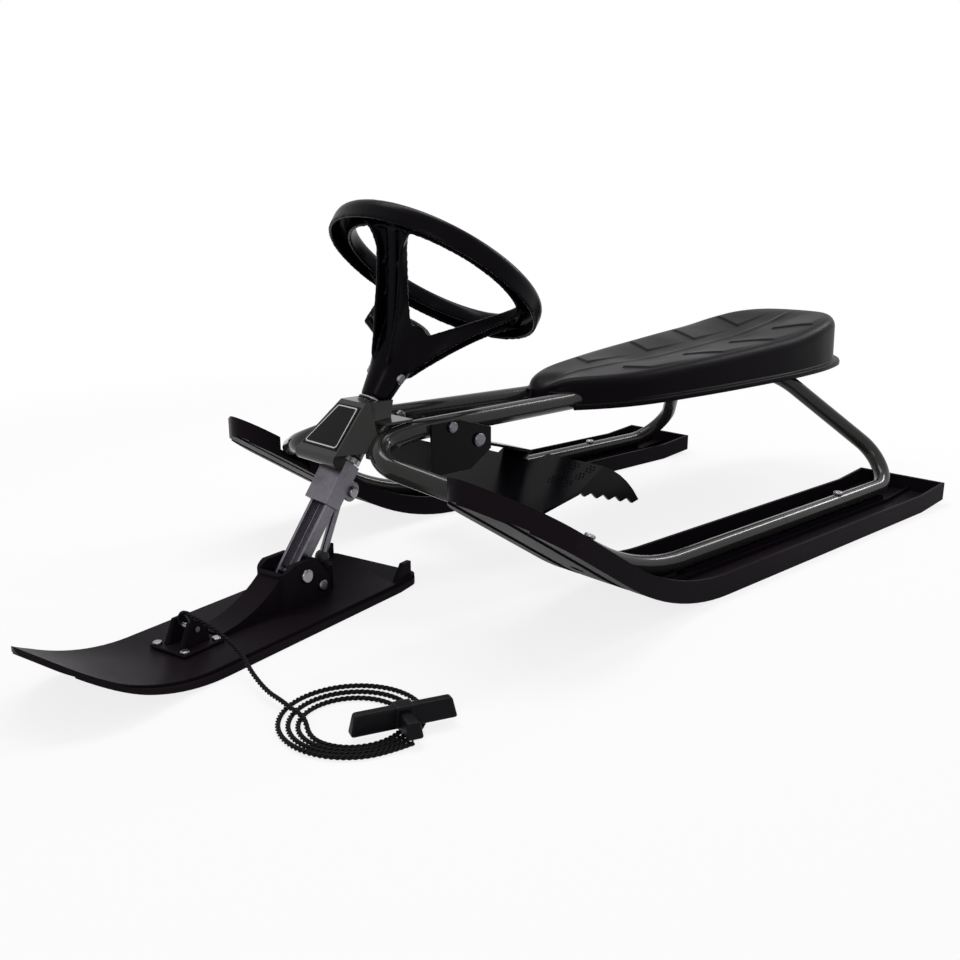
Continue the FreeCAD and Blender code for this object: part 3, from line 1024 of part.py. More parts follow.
# Middle of the sled without its rope, then every piece moved and written
CORDS = ("pull_rope", "rope_coil", "rope_handle")
extent = FreeCAD.BoundBox()
for name, shape in nodes.items():
    if name not in CORDS:
        extent.add(shape.optimalBoundingBox(False))
shift = V(0, -(extent.YMin + extent.YMax) / 2, 0)
for name, shape in nodes.items():
    moved = shape.copy()
    moved.translate(shift)
    moved.exportStep(f"parts/{name}.step")
    print(name, len(shape.Solids), "solids,", round(shape.Volume / 1000, 2), "cm3, valid:", shape.isValid())
print("size", round(extent.XLength, 2), round(extent.YLength, 2), round(extent.ZLength, 2))
print("lowest", round(extent.ZMin, 3))
print("shift along y", round(shift.y, 3))
print("steer pivot", steer_pivot + shift, "axis", axis_up)
print("heading", round(heading, 3), "pin along", pin_side)
print("brake pivot", BRAKE_PIVOT + shift)
rope_length = sum(edge.Length for edge in rope_path.Edges)
section = math.pi * ROPE ** 2 / 4
print("rope radii", [round(radius, 1) for radius in rope_radii], "length", round(rope_length, 1))
print("rope volume against section", round(nodes["pull_rope"].Volume / (section * rope_length), 4))
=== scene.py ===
"""Steering sled: black moulded skis and seat on a bent tube frame, a foot brake and a wheel with a zinc fork."""
import json
import math

import bmesh
import bpy
import numpy as np
from mathutils import Matrix, Vector

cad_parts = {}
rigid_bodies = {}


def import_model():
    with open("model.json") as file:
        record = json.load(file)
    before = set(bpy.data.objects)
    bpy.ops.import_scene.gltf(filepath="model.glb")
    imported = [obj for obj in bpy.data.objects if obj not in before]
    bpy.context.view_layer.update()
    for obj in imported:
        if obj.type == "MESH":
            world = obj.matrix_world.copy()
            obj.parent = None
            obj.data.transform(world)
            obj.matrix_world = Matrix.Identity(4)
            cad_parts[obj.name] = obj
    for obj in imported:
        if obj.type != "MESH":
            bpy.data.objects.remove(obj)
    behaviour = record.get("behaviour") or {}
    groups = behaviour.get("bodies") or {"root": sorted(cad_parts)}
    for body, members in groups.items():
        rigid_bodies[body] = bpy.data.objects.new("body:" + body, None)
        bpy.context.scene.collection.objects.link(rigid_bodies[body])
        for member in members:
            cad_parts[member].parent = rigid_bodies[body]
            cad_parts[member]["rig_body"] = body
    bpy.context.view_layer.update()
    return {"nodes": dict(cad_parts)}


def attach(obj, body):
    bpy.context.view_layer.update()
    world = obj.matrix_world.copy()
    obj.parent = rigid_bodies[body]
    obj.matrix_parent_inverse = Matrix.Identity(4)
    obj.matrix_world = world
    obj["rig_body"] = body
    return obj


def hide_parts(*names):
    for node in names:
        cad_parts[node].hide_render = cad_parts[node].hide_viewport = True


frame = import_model()

# Studio: a white sweep with soft lamps overhead and behind, and a weaker one at the front left.
# The camera stands off the sled's front left corner, about level with its wheel.
scene = bpy.context.scene
scene.view_settings.view_transform = "Standard"
CAMERA_PLACE = (0.7752, -0.78328, 0.3557)
CAMERA_TILT = 75.5
CAMERA_TURN = 47.5
LENS = 37.55
SENSOR = 36.0
NEAREST = 0.01
lens = bpy.data.cameras.new("camera")
lens.lens = LENS
lens.sensor_width = SENSOR
lens.clip_start = NEAREST
camera = bpy.data.objects.new("camera", lens)
camera.location = CAMERA_PLACE
camera.rotation_euler = (math.radians(CAMERA_TILT), 0.0, math.radians(CAMERA_TURN))
scene.collection.objects.link(camera)
scene.camera = camera


def put(tree, kind, inputs=None, **settings):
    """Adds a node, sets its values or links its inputs, and gives its outputs."""
    step = tree.nodes.new(kind)
    for key, value in settings.items():
        setattr(step, key, value)
    for key, value in (inputs or {}).items():
        if isinstance(value, bpy.types.NodeSocket):
            tree.links.new(value, step.inputs[key])
        else:
            step.inputs[key].default_value = value
    return step.outputs


def seen_directly(tree):
    """1 for what the lens, a mirror or a clear piece sees of the background, 0 for its light on the sled."""
    path = put(tree, "ShaderNodeLightPath")
    straight = put(tree, "ShaderNodeMath", {0: path["Is Camera Ray"], 1: path["Is Glossy Ray"]}, operation="MAXIMUM")
    return put(tree, "ShaderNodeMath", {0: straight[0], 1: path["Is Transmission Ray"]}, operation="MAXIMUM")[0]


WHITE = (1.0, 1.0, 1.0, 1.0)
SKY_FILL = 0.45              # strength of the sky's light on the sled
world = bpy.data.worlds.new("studio")
world.use_nodes = True
scene.world = world
sky = world.node_tree
sky_strength = put(sky, "ShaderNodeMapRange", {"Value": seen_directly(sky), "To Min": SKY_FILL, "To Max": 1.0})[0]
sky.links.new(sky_strength, sky.nodes["Background"].inputs["Strength"])
sky.nodes["Background"].inputs["Color"].default_value = WHITE

FLOOR_HALF = 9.0
FLOOR_GREY = (0.9, 0.9, 0.9, 1.0)
FLOOR_GLOW = 0.82            # share of plain white near the sled, where its shadow shows through
GLOW_NEAR = 0.75             # distances between which the floor goes over to plain white
GLOW_FAR = 1.6
sweep_mesh = bpy.data.meshes.new("floor")
floor_corners = [(FLOOR_HALF * x, FLOOR_HALF * y, 0.0) for x, y in ((-1, -1), (1, -1), (1, 1), (-1, 1))]
sweep_mesh.from_pydata(floor_corners, [], [(0, 1, 2, 3)])
sweep = bpy.data.objects.new("floor", sweep_mesh)
scene.collection.objects.link(sweep)
sweep_paint = bpy.data.materials.new("floor_white")
sweep_paint.use_nodes = True
tree = sweep_paint.node_tree
tree.nodes.clear()
matte = put(tree, "ShaderNodeBsdfDiffuse", {"Color": FLOOR_GREY})[0]
glow = put(tree, "ShaderNodeEmission", {"Color": WHITE, "Strength": 1.0})[0]
spot = put(tree, "ShaderNodeTexCoord")["Object"]
distance = put(tree, "ShaderNodeVectorMath", {0: spot}, operation="LENGTH")["Value"]
fade = put(tree, "ShaderNodeMapRange", {"Value": distance, "From Min": GLOW_NEAR, "From Max": GLOW_FAR,
                                        "To Min": FLOOR_GLOW, "To Max": 1.0}, interpolation_type="SMOOTHSTEP")[0]
glow_share = put(tree, "ShaderNodeMath", {0: seen_directly(tree), 1: fade}, operation="MULTIPLY")[0]
floor_mix = put(tree, "ShaderNodeMixShader", {"Fac": glow_share, 1: matte, 2: glow})[0]
put(tree, "ShaderNodeOutputMaterial", {"Surface": floor_mix})
sweep_mesh.materials.append(sweep_paint)

for name, place, aim, wide, high, power in (
    ("lamp_overhead", (-0.5, 0.1, 1.8), (0.0, 0.0, 0.1), 1.6, 0.5, 17.0),
    ("lamp_rear", (0.25, 2.0, 1.5), (0.0, 0.0, 0.1), 0.22, 1.1, 14.0),
    ("lamp_front", (1.5, -1.9, 1.3), (0.0, -0.1, 0.1), 0.6, 1.0, 10.0),
):
    bulb = bpy.data.lights.new(name, "AREA")
    bulb.shape = "RECTANGLE"
    bulb.size = wide
    bulb.size_y = high
    bulb.energy = power
    lamp = bpy.data.objects.new(name, bulb)
    lamp.location = place
    lamp.rotation_euler = (Vector(aim) - Vector(place)).to_track_quat("-Z", "Y").to_euler()
    scene.collection.objects.link(lamp)


# Frame tubes: two loops of 20 mm steel tube, bent cold, each starting and ending in the channel of its ski.
# The paint is a charcoal powder coat, semi-gloss with a faint orange peel.
def blank_finish(name, values):
    """New finish with these values on its shader: the material, its node tree and the piece's own coordinates."""
    skin = bpy.data.materials.new(name)
    skin.use_nodes = True
    tree = skin.node_tree
    for key, value in values.items():
        tree.nodes["Principled BSDF"].inputs[key].default_value = value
    return skin, tree, put(tree, "ShaderNodeTexCoord")["Object"]


def speckled(tree, place, scale, detail, rough=0.5):
    """Noise over the surface, from 0 to 1."""
    values = {"Vector": place, "Scale": scale, "Detail": detail, "Roughness": rough}
    return put(tree, "ShaderNodeTexNoise", values)["Fac"]


def stretched(tree, value, low, high, to_low=0.0, to_high=1.0):
    """Stretches one range of a value to another, and stops at its ends."""
    ends = {"Value": value, "From Min": low, "From Max": high, "To Min": to_low, "To Max": to_high}
    return put(tree, "ShaderNodeMapRange", ends)[0]


def shade(colour, times=1.0, plus=0.0):
    """Paler or darker shade of a colour, opaque."""
    return (*(min(1.0, times * part + plus) for part in colour), 1.0)


def toned(tree, share, first, second):
    """Goes from one colour to another by a share."""
    return put(tree, "ShaderNodeMix", {"Factor": share, 6: first, 7: second}, data_type="RGBA")[2]


def surfaced(tree, tint, dullness, height, strength, depth):
    """Joins a colour, a dullness and a fine bump to a finish's shader."""
    shader = tree.nodes["Principled BSDF"]
    bump = put(tree, "ShaderNodeBump", {"Height": height, "Strength": strength, "Distance": depth})[0]
    for key, value in (("Base Color", tint), ("Roughness", dullness), ("Normal", bump)):
        tree.links.new(value, shader.inputs[key])


def coated(name, colour, dull, peel, sheen=0.3):
    """Powder coat on steel: orange peel, small changes of gloss and a few paler rubs."""
    skin, tree, place = blank_finish(name, {"Specular IOR Level": sheen})
    orange_peel = speckled(tree, place, scale=420.0, detail=2.0)
    cloud = speckled(tree, place, scale=14.0, detail=5.0)
    rubs = speckled(tree, place, scale=55.0, detail=8.0, rough=0.75)
    worn = stretched(tree, rubs, low=0.62, high=0.8)
    tint = toned(tree, worn, shade(colour), shade(colour, times=2.0, plus=0.001))
    dullness = stretched(tree, cloud, low=0.3, high=0.7, to_low=dull - 0.05, to_high=dull + 0.06)
    surfaced(tree, tint, dullness, orange_peel, strength=peel, depth=0.0004)
    return skin


def finished(piece, skin):
    """Turns a piece and its modifiers into one plain mesh with one finish."""
    graph = bpy.context.evaluated_depsgraph_get()
    mesh = bpy.data.meshes.new_from_object(piece.evaluated_get(graph))
    piece.modifiers.clear()
    piece.data = mesh
    mesh.materials.clear()
    mesh.materials.append(skin)


def rounded(piece, width, steps, angle=None):
    """Rounds a piece's sharper edges, with arcs at outer corners where an angle is given, and evens its shading."""
    if width:
        rounding = piece.modifiers.new("rounding", "BEVEL")
        rounding.width = width
        rounding.segments = steps
        if angle:
            rounding.limit_method = "ANGLE"
            rounding.angle_limit = math.radians(angle)
            rounding.miter_outer = "MITER_ARC"
    shading = piece.modifiers.new("shading", "WEIGHTED_NORMAL")
    shading.keep_sharp = True


WELD = 4e-6                  # corners of a solid's triangles that are this close are one
FLAT_ANGLE = 0.6             # faces that meet at less are one face
SHARP_ANGLE = 48.0           # edges past this shade sharp


def softened(node, skin, width, steps=2, angle=32.0):
    """Copy of a solid with its edges rounded, as bending, casting or a mould leaves them."""
    solid = frame["nodes"][node].data
    mesh = bpy.data.meshes.new(f"{node}_skin")
    mesh.from_pydata([tuple(v.co) for v in solid.vertices], [], [tuple(p.vertices) for p in solid.polygons])
    form = bmesh.new()
    form.from_mesh(mesh)
    bmesh.ops.remove_doubles(form, verts=form.verts, dist=WELD)
    bmesh.ops.dissolve_degenerate(form, edges=form.edges, dist=WELD)
    bmesh.ops.dissolve_limit(form, angle_limit=math.radians(FLAT_ANGLE), verts=form.verts, edges=form.edges)
    form.to_mesh(mesh)
    form.free()
    mesh.polygons.foreach_set("use_smooth", [True] * len(mesh.polygons))
    mesh.set_sharp_from_angle(angle=math.radians(SHARP_ANGLE))
    piece = bpy.data.objects.new(f"{node}_skin", mesh)
    scene.collection.objects.link(piece)
    rounded(piece, width, steps, angle)
    finished(piece, skin)
    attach(piece, frame["nodes"][node]["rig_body"])
    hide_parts(node)
    return piece


frame_paint = coated("frame_paint", colour=(0.0205, 0.0211, 0.0195), dull=0.15, peel=0.04, sheen=0.22)
for node in ("frame_tube_left", "frame_tube_right"):
    tube = softened(node, frame_paint, width=0.0006, steps=1, angle=50.0)

# Head: a folded steel box welded between the tubes, with a gusset behind it, in the frame's paint.
# The head tube stands in it, and a nylon bush at each end of the tube carries the steering column.
nylon = coated("nylon", colour=(0.0040, 0.0036, 0.0048), dull=0.36, peel=0.12, sheen=0.08)
for node, width in (("head_box", 0.0022), ("head_tube", 0.0006), ("head_gusset", 0.0012)):
    softened(node, frame_paint, width, steps=3)
for node in ("head_bush_upper", "head_bush_lower"):
    softened(node, nylon, width=0.0004)

# Label: a glossy black sticker on the head's sloping face.
# Its only print is a pale border line with rounded corners.
MERGE = 2e-6                 # corners of a made piece that are this close are one


def made(name, verts, faces, skin, body=None, smooth=True, closed=True):
    """New mesh piece that rides on a body, with its faces turned outwards if it is closed."""
    mesh = bpy.data.meshes.new(name)
    mesh.from_pydata([tuple(map(float, v)) for v in verts], [], faces)
    form = bmesh.new()
    form.from_mesh(mesh)
    bmesh.ops.remove_doubles(form, verts=form.verts, dist=MERGE)
    if closed:
        bmesh.ops.recalc_face_normals(form, faces=form.faces)
    form.to_mesh(mesh)
    form.free()
    mesh.polygons.foreach_set("use_smooth", [smooth] * len(mesh.polygons))
    mesh.materials.append(skin)
    piece = bpy.data.objects.new(name, mesh)
    scene.collection.objects.link(piece)
    if body:
        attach(piece, body)
    return piece


def rounded_outline(corners, radius, steps):
    """Closed outline in a plane with each corner turned into an arc."""
    points = []
    for k, corner in enumerate(corners):
        into = (corners[k - 1] - corner).normalized()
        away = (corners[(k + 1) % len(corners)] - corner).normalized()
        half = into.angle(away) / 2
        middle = corner + (into + away).normalized() * (radius / math.sin(half))
        first = corner + into * (radius / math.tan(half)) - middle
        last = corner + away * (radius / math.tan(half)) - middle
        for step in range(steps + 1):
            points.append(middle + first.slerp(last, step / steps).normalized() * radius)
    return points


label_skin = coated("label_gloss", colour=(0.0025, 0.0022, 0.0034), dull=0.2, peel=0.03, sheen=0.05)
label = softened("label_plate", label_skin, width=0.0003)
LABEL_LOW = (0.0280, -0.27708, 0.15178)      # the face's lower corners, as half width, y and z
LABEL_HIGH = (0.0176, -0.24058, 0.18622)     # and its upper ones
LABEL_OUT = Vector((0.0, -0.6864, 0.7273))
LABEL_LIFT = 0.00092
BORDER_INSET = 0.0019
BORDER_WIDTH = 0.0013
BORDER_CORNER = 0.0042
BORDER_STEPS = 7
SIDE_INSET = 1.06            # of the slanting sides, as a share of the inset
CORNER_INSET = 0.6           # by which the corners tighten, as a share of the inset
lowest, highest = (Vector((0.0, *corner[1:])) for corner in (LABEL_LOW, LABEL_HIGH))
face_rise = (highest - lowest).normalized()
left = Vector((1.0, 0.0, 0.0))
border = []
for inset in (BORDER_INSET, BORDER_INSET + BORDER_WIDTH):
    low_half, high_half = (corner[0] - inset * SIDE_INSET for corner in (LABEL_LOW, LABEL_HIGH))
    low = lowest + face_rise * inset + LABEL_OUT * LABEL_LIFT
    high = highest - face_rise * inset + LABEL_OUT * LABEL_LIFT
    quad = [low - left * low_half, low + left * low_half, high + left * high_half, high - left * high_half]
    border.append(rounded_outline(quad, BORDER_CORNER - inset * CORNER_INSET, BORDER_STEPS))
around = len(border[0])
border_faces = [(k, (k + 1) % around, around + (k + 1) % around, around + k) for k in range(around)]
border_print = coated("label_print", colour=(0.52, 0.52, 0.54), dull=0.35, peel=0.03)
border_line = made("label_border", border[0] + border[1], border_faces, border_print, "frame", smooth=False,
                   closed=False)

# Rear skis: injection moulded polyethylene channels with upturned noses, bolted up to the tubes.
# The plastic is black with a fine satin grain, and its sliding faces are scuffed along the sled.
PLASTIC_TINT = (1.0, 0.88, 0.99, 1.0)        # of the plastics' reflections
SCUFF_DRAW = (90.0, 9.0, 90.0)               # scuffs are ten times as long as they are wide


def moulded(name, colour, dull, grain, depth, sheen):
    """Moulded plastic: a fine grain, faint flow marks and paler scuffs."""
    skin, tree, place = blank_finish(name, {"Specular IOR Level": sheen, "Specular Tint": PLASTIC_TINT})
    fine = speckled(tree, place, scale=grain, detail=2.0, rough=0.6)
    cloud = speckled(tree, place, scale=11.0, detail=4.0)
    drawn = put(tree, "ShaderNodeMapping", {"Vector": place, "Scale": SCUFF_DRAW})[0]
    scuffs = speckled(tree, drawn, scale=3.0, detail=6.0, rough=0.7)
    worn = stretched(tree, scuffs, low=0.63, high=0.8)
    tint = toned(tree, worn, shade(colour), shade(colour, times=1.8, plus=0.001))
    dullness = stretched(tree, cloud, low=0.3, high=0.7, to_low=dull - 0.05, to_high=dull + 0.06)
    surfaced(tree, tint, dullness, fine, strength=depth, depth=0.0003)
    return skin


ski_plastic = moulded("ski_plastic", colour=(0.0092, 0.0068, 0.0094), dull=0.38, grain=900.0, depth=0.10,
                      sheen=0.014)
for node in ("rear_ski_left", "rear_ski_right"):
    softened(node, ski_plastic, width=0.0009)

# Grip teeth: a row of small tapered studs on each side of a tube, moulded with the ski's bed.
# They stand where the upturn begins and keep a boot on the ski from slipping.
STUD_SIDES = 10


def studded(name, spots, turn, sizes, skin, body):
    """Small studs on the given spots, one tapered stud set on each by geometry nodes.

    The sizes are the stud's radius at its foot, its radius at its top and its height.
    """
    group = bpy.data.node_groups.new(f"{name}_studs", "GeometryNodeTree")
    group.interface.new_socket("Spots", in_out="INPUT", socket_type="NodeSocketGeometry")
    wide, narrow, height = sizes
    rows = (("Wide", "NodeSocketFloat", wide), ("Narrow", "NodeSocketFloat", narrow),
            ("Height", "NodeSocketFloat", height), ("Turn", "NodeSocketRotation", turn),
            ("Skin", "NodeSocketMaterial", skin))
    sockets = [group.interface.new_socket(title, in_out="INPUT", socket_type=kind).identifier
               for title, kind, _ in rows]
    group.interface.new_socket("Studs", in_out="OUTPUT", socket_type="NodeSocketGeometry")
    given = put(group, "NodeGroupInput")
    cone = put(group, "GeometryNodeMeshCone", {"Radius Top": given["Narrow"], "Radius Bottom": given["Wide"],
                                               "Depth": given["Height"], "Vertices": STUD_SIDES})
    placed = put(group, "GeometryNodeInstanceOnPoints", {"Points": given["Spots"], "Instance": cone["Mesh"],
                                                         "Rotation": given["Turn"]})
    real = put(group, "GeometryNodeRealizeInstances", {"Geometry": placed["Instances"]})
    skinned = put(group, "GeometryNodeSetMaterial", {"Geometry": real["Geometry"], "Material": given["Skin"]})
    put(group, "NodeGroupOutput", {"Studs": skinned["Geometry"]})
    mesh = bpy.data.meshes.new(name)
    mesh.from_pydata(spots, [], [])
    piece = bpy.data.objects.new(name, mesh)
    scene.collection.objects.link(piece)
    studs = piece.modifiers.new("studs", "NODES")
    studs.node_group = group
    for socket, (_, _, value) in zip(sockets, rows):
        studs[socket] = value
    finished(piece, skin)
    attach(piece, body)
    return piece


SKI_MIDDLE = 0.201           # of a rear ski, from the sled's middle
UPTURN_START = 0.02192       # where the flat underside begins to curve up
UPTURN_RADIUS = 0.280
UPTURN_RUN = 0.15044         # from there to the straight nose, along the sled
UPTURN_RISE = 0.04385        # and the height gained on it
NOSE_SLOPE = 0.63707
GRIP_STUDS = 34              # in a row
GRIP_START = -0.128
GRIP_PITCH = 0.0046
GRIP_SIDE = 0.0124           # from the ski's middle to a row
GRIP_LIFT = 0.0094           # from the underside to the middle of a stud
GRIP_SIZES = (0.0019, 0.0008, 0.0026)


def ski_rise(y):
    """Height of the rear ski's underside at a place along the sled."""
    past = max(0.0, UPTURN_START - y)
    if past < UPTURN_RUN:
        return UPTURN_RADIUS - math.sqrt(UPTURN_RADIUS ** 2 - past ** 2)
    return UPTURN_RISE + (past - UPTURN_RUN) * NOSE_SLOPE


for sign, hand in ((1, "left"), (-1, "right")):
    spots = []
    for k in range(GRIP_STUDS):
        y = GRIP_START + GRIP_PITCH * k
        spots += [(sign * (SKI_MIDDLE + side), y, ski_rise(y) + GRIP_LIFT) for side in (-GRIP_SIDE, GRIP_SIDE)]
    teeth = studded(f"ski_grip_{hand}", spots, (0.0, 0.0, 0.0), GRIP_SIZES, ski_plastic, "frame")


# Bolts and nuts: zinc plated steel, with a bluish cast, small spangles and a fine grain.
# The ones that hold the brake and the second bolt of the front ski's tower have a duller plate.
def plated(name, colour, dull):
    """Zinc plate: small spangles, streaks of duller plate and a faint grain."""
    skin, tree, place = blank_finish(name, {"Metallic": 1.0})
    spangles = put(tree, "ShaderNodeTexVoronoi", {"Vector": place, "Scale": 260.0})["Color"]
    cloud = speckled(tree, place, scale=30.0, detail=6.0, rough=0.65)
    grain = speckled(tree, place, scale=1500.0, detail=2.0)
    share = stretched(tree, spangles, low=0.0, high=1.0, to_high=0.5)
    bright = toned(tree, share, shade(colour), shade(colour, times=1.35))
    stain = stretched(tree, cloud, low=0.5, high=0.75)
    tint = toned(tree, stain, bright, shade(colour, times=0.7))
    dullness = stretched(tree, cloud, low=0.3, high=0.7, to_low=dull - 0.06, to_high=dull + 0.1)
    surfaced(tree, tint, dullness, grain, strength=0.08, depth=0.0002)
    return skin


zinc = plated("zinc", colour=(0.25, 0.25, 0.265), dull=0.25)
dull_zinc = plated("zinc_dull", colour=(0.135, 0.129, 0.147), dull=0.30)
for node in ("ski_bolts", "ski_nuts", "seat_screws", "bracket_nuts", "brake_axle_nut", "brake_spacer", "wheel_bolt",
             "wheel_nut", "column_washer", "column_collar", "fork_bolt", "fork_nut", "pivot_pin", "pivot_nut",
             "tower_nut", "anchor_screws"):
    softened(node, zinc, width=0.0004)
for node in ("bracket_bolts", "brake_axle", "tower_bolt"):
    softened(node, dull_zinc, width=0.0004)

# Seat: one moulded shell with a lip, a rounded crown, a dished top with a ridge, and slanting stepped panels.
# Its hollow stands on bosses that take the screws through two steel straps across the tubes.
# The sizes are in millimetres, and places along the sled count from the tail of the skis.
MM = 0.001
STATION = 504.92             # from the tail of the skis to the origin
SEAT_OUTLINE = [
    (0.0, -498.0), (28.0, -489.0), (54.0, -456.0), (76.0, -407.0), (93.0, -311.0), (105.0, -184.0), (108.0, -103.0),
    (102.0, -31.0), (86.0, 24.0), (54.0, 61.0), (0.0, 72.0),
]
SEAT_ENDS = (-528.0, 102.0)  # places of the lip's two heights
SEAT_LOW = (152.0, 165.0)
SEAT_RIM = (                 # places and heights of the rim, which sags before the hips and rises behind them
    (-528.0, -450.0, -407.0, -366.0, -330.0, -243.0, -153.0, -98.0, -30.0, 10.0, 60.0, 102.0),
    (185.0, 187.0, 188.5, 191.0, 194.0, 200.0, 207.0, 211.5, 222.5, 228.5, 231.5, 232.0),
)
RIM_EASE = 24.0              # reach over which the rim's heights are evened, and the number of samples
RIM_SAMPLES = 13
SEAT_LIP = 9.0
LIP_PROFILE = (              # insets and rises of the lip's face, from its lower edge to the foot of the wall
    (0.0, 0.0), (0.0, 3.6), (0.5, 5.0), (1.8, 5.9), (6.4, 6.1), (8.1, 6.9), (8.9, 8.6),
)
SEAT_WALL = 10.0             # from the lip's edge to the top of the wall
NOTCH_PLACE = 29.0           # openings in the front of the lip, where the tubes pass
NOTCH_HALF = 12.0
NOTCH_TOP = 172.4
SEAT_CROWN = 15.0
CROWN_STEPS = 10
SEAT_DISH = 6.5
DISH_START = -335.0
DISH_FADE = 18.0
SEAT_DIP = 8.0               # of the front rim, between the tubes
DIP_HALF = 15.0
DIP_PLACE = -455.0
DIP_FADE = 8.0
SPINE_ENDS = (-395.0, -28.0)  # of the middle line on which the top closes
RIDGE_RISE = 1.2
RIDGE_HALF = 4.0
RIDGE_ENDS = (-440.0, 20.0)
RIDGE_FADES = (8.0, 10.0)
PANEL_ROWS = (-377.0, -262.0, -163.0, -62.0)
PANEL_SLOPE = 0.42
PANEL_INNER = 27.0           # half width of the plain middle
PANEL_OUTER = 0.97           # share of the half width at which a panel ends
PANEL_STEP = 1.9             # at a panel's front, fading to nothing at its rear
PANEL_RUN = 78.0
PANEL_EDGE = 0.35            # softness of a panel's front and inner edges
PANEL_SIDE = 1.5             # softness of its outer edge
SEAT_SHELL = 3.6
AROUND = 680                 # points in a ring
ACROSS = 50                  # rings from the crown to the spine
ARC_POINTS = 48              # points between two of the outline's
STEP_REACH = 30.0            # a soft step is over at this many times its softness


def closed_curve(points, count):
    """Even points on a smooth closed curve through the given ones."""
    pts = np.array(points)
    dense = []
    for i in range(len(pts)):
        p = [pts[(i + k) % len(pts)] for k in (-1, 0, 1, 2)]
        t = [0.0]
        for first, second in zip(p, p[1:]):
            t.append(t[-1] + math.sqrt(np.linalg.norm(second - first)))
        at = np.linspace(t[1], t[2], ARC_POINTS, endpoint=False)[:, None]
        for span in (1, 2):
            p = [(t[k + span] - at) / (t[k + span] - t[k]) * p[k] + (at - t[k]) / (t[k + span] - t[k]) * p[k + 1]
                 for k in range(4 - span)]
        dense.append((t[2] - at) / (t[2] - t[1]) * p[0] + (at - t[1]) / (t[2] - t[1]) * p[1])
    loop = np.concatenate(dense)
    loop = np.vstack([loop, loop[:1]])
    run = np.concatenate([[0.0], np.cumsum(np.linalg.norm(np.diff(loop, axis=0), axis=1))])
    even = np.linspace(0.0, run[-1], count, endpoint=False)
    return np.stack([np.interp(even, run, loop[:, k]) for k in range(2)], axis=1)


def lip_foot(y):
    """Height of the lip's lower edge, on a straight line between the two ends of the seat."""
    return SEAT_LOW[0] + (SEAT_LOW[1] - SEAT_LOW[0]) * (y - SEAT_ENDS[0]) / (SEAT_ENDS[1] - SEAT_ENDS[0])


def seat_top(y):
    """Height of the rim, eased between its measured places."""
    eases = np.linspace(-RIM_EASE, RIM_EASE, RIM_SAMPLES)
    return np.mean([np.interp(y + ease, *SEAT_RIM) for ease in eases], axis=0)


def edge_step(value, soft):
    """0 below zero, 1 above it, with a soft step."""
    return 1.0 / (1.0 + np.exp(-np.clip(value / soft, -STEP_REACH, STEP_REACH)))


def front_dip(x, y):
    """Depth of the dip in the seat's front rim."""
    return SEAT_DIP * np.exp(-(x / DIP_HALF) ** 2) * edge_step(DIP_PLACE - y, DIP_FADE)


edge = closed_curve(SEAT_OUTLINE + [(-x, y) for x, y in reversed(SEAT_OUTLINE[1:-1])], AROUND)
tangent = np.roll(edge, -1, axis=0) - np.roll(edge, 1, axis=0)
tangent /= np.linalg.norm(tangent, axis=1)[:, None]
inward = np.stack([-tangent[:, 1], tangent[:, 0]], axis=1)
notch = (np.abs(np.abs(edge[:, 0]) - NOTCH_PLACE) < NOTCH_HALF) & (edge[:, 1] < SEAT_OUTLINE[2][1])
rings = []
for inset, rise in LIP_PROFILE:
    ring = edge + inward * np.where(notch, SEAT_LIP, inset)[:, None]
    height = lip_foot(ring[:, 1]) + rise
    rings.append(np.column_stack([ring, np.where(notch, np.maximum(height, NOTCH_TOP), height)]))
for k in range(CROWN_STEPS + 1):
    turn = math.radians(90.0 * k / CROWN_STEPS)
    ring = edge + inward * (SEAT_WALL + SEAT_CROWN * (1 - math.cos(turn)))
    dip = front_dip(ring[:, 0], ring[:, 1]) * math.sin(turn)
    rings.append(np.column_stack([ring, seat_top(ring[:, 1]) - SEAT_CROWN * (1 - math.sin(turn)) - dip]))
crown = rings[-1][:, :2]
spine = np.column_stack([np.zeros(AROUND), np.clip(crown[:, 1], *SPINE_ENDS)])
for k in range(1, ACROSS + 1):
    share = k / ACROSS
    ring = crown + (spine - crown) * share
    x, y = np.abs(ring[:, 0]), ring[:, 1]
    relief = -SEAT_DISH * edge_step(y - DISH_START, DISH_FADE) * (1 - math.cos(math.pi * share)) / 2
    ridge = edge_step(y - RIDGE_ENDS[0], RIDGE_FADES[0]) * edge_step(RIDGE_ENDS[1] - y, RIDGE_FADES[1])
    relief = relief + RIDGE_RISE * np.exp(-(x / RIDGE_HALF) ** 2) * ridge
    inside = edge_step(x - PANEL_INNER, PANEL_EDGE) * edge_step(PANEL_OUTER * np.abs(crown[:, 0]) - x, PANEL_SIDE)
    for row in PANEL_ROWS:
        past = (y - row - PANEL_SLOPE * (x - PANEL_INNER)) / math.hypot(1.0, PANEL_SLOPE)
        panel = edge_step(past, PANEL_EDGE) * np.clip(1.0 - past / PANEL_RUN, 0.0, 1.0)
        relief = relief + PANEL_STEP * panel * inside
    rings.append(np.column_stack([ring, seat_top(y) + relief - front_dip(x, y)]))
verts = np.concatenate(rings)
verts[:, 1] += STATION
faces = []
for ring in range(len(rings) - 1):
    for k in range(AROUND):
        a, b = ring * AROUND + k, ring * AROUND + (k + 1) % AROUND
        faces.append((a, b, b + AROUND, a + AROUND))
seat_plastic = moulded("seat_plastic", colour=(0.0034, 0.0024, 0.0036), dull=0.36, grain=700.0, depth=0.12,
                       sheen=0.03)
seat = made("seat_shell_skin", verts * MM, faces, seat_plastic, closed=False)
shell = seat.modifiers.new("shell", "SOLIDIFY")
shell.thickness = SEAT_SHELL * MM
shell.offset = -1.0
finished(seat, seat_plastic)
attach(seat, "frame")
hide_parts("seat_shell")

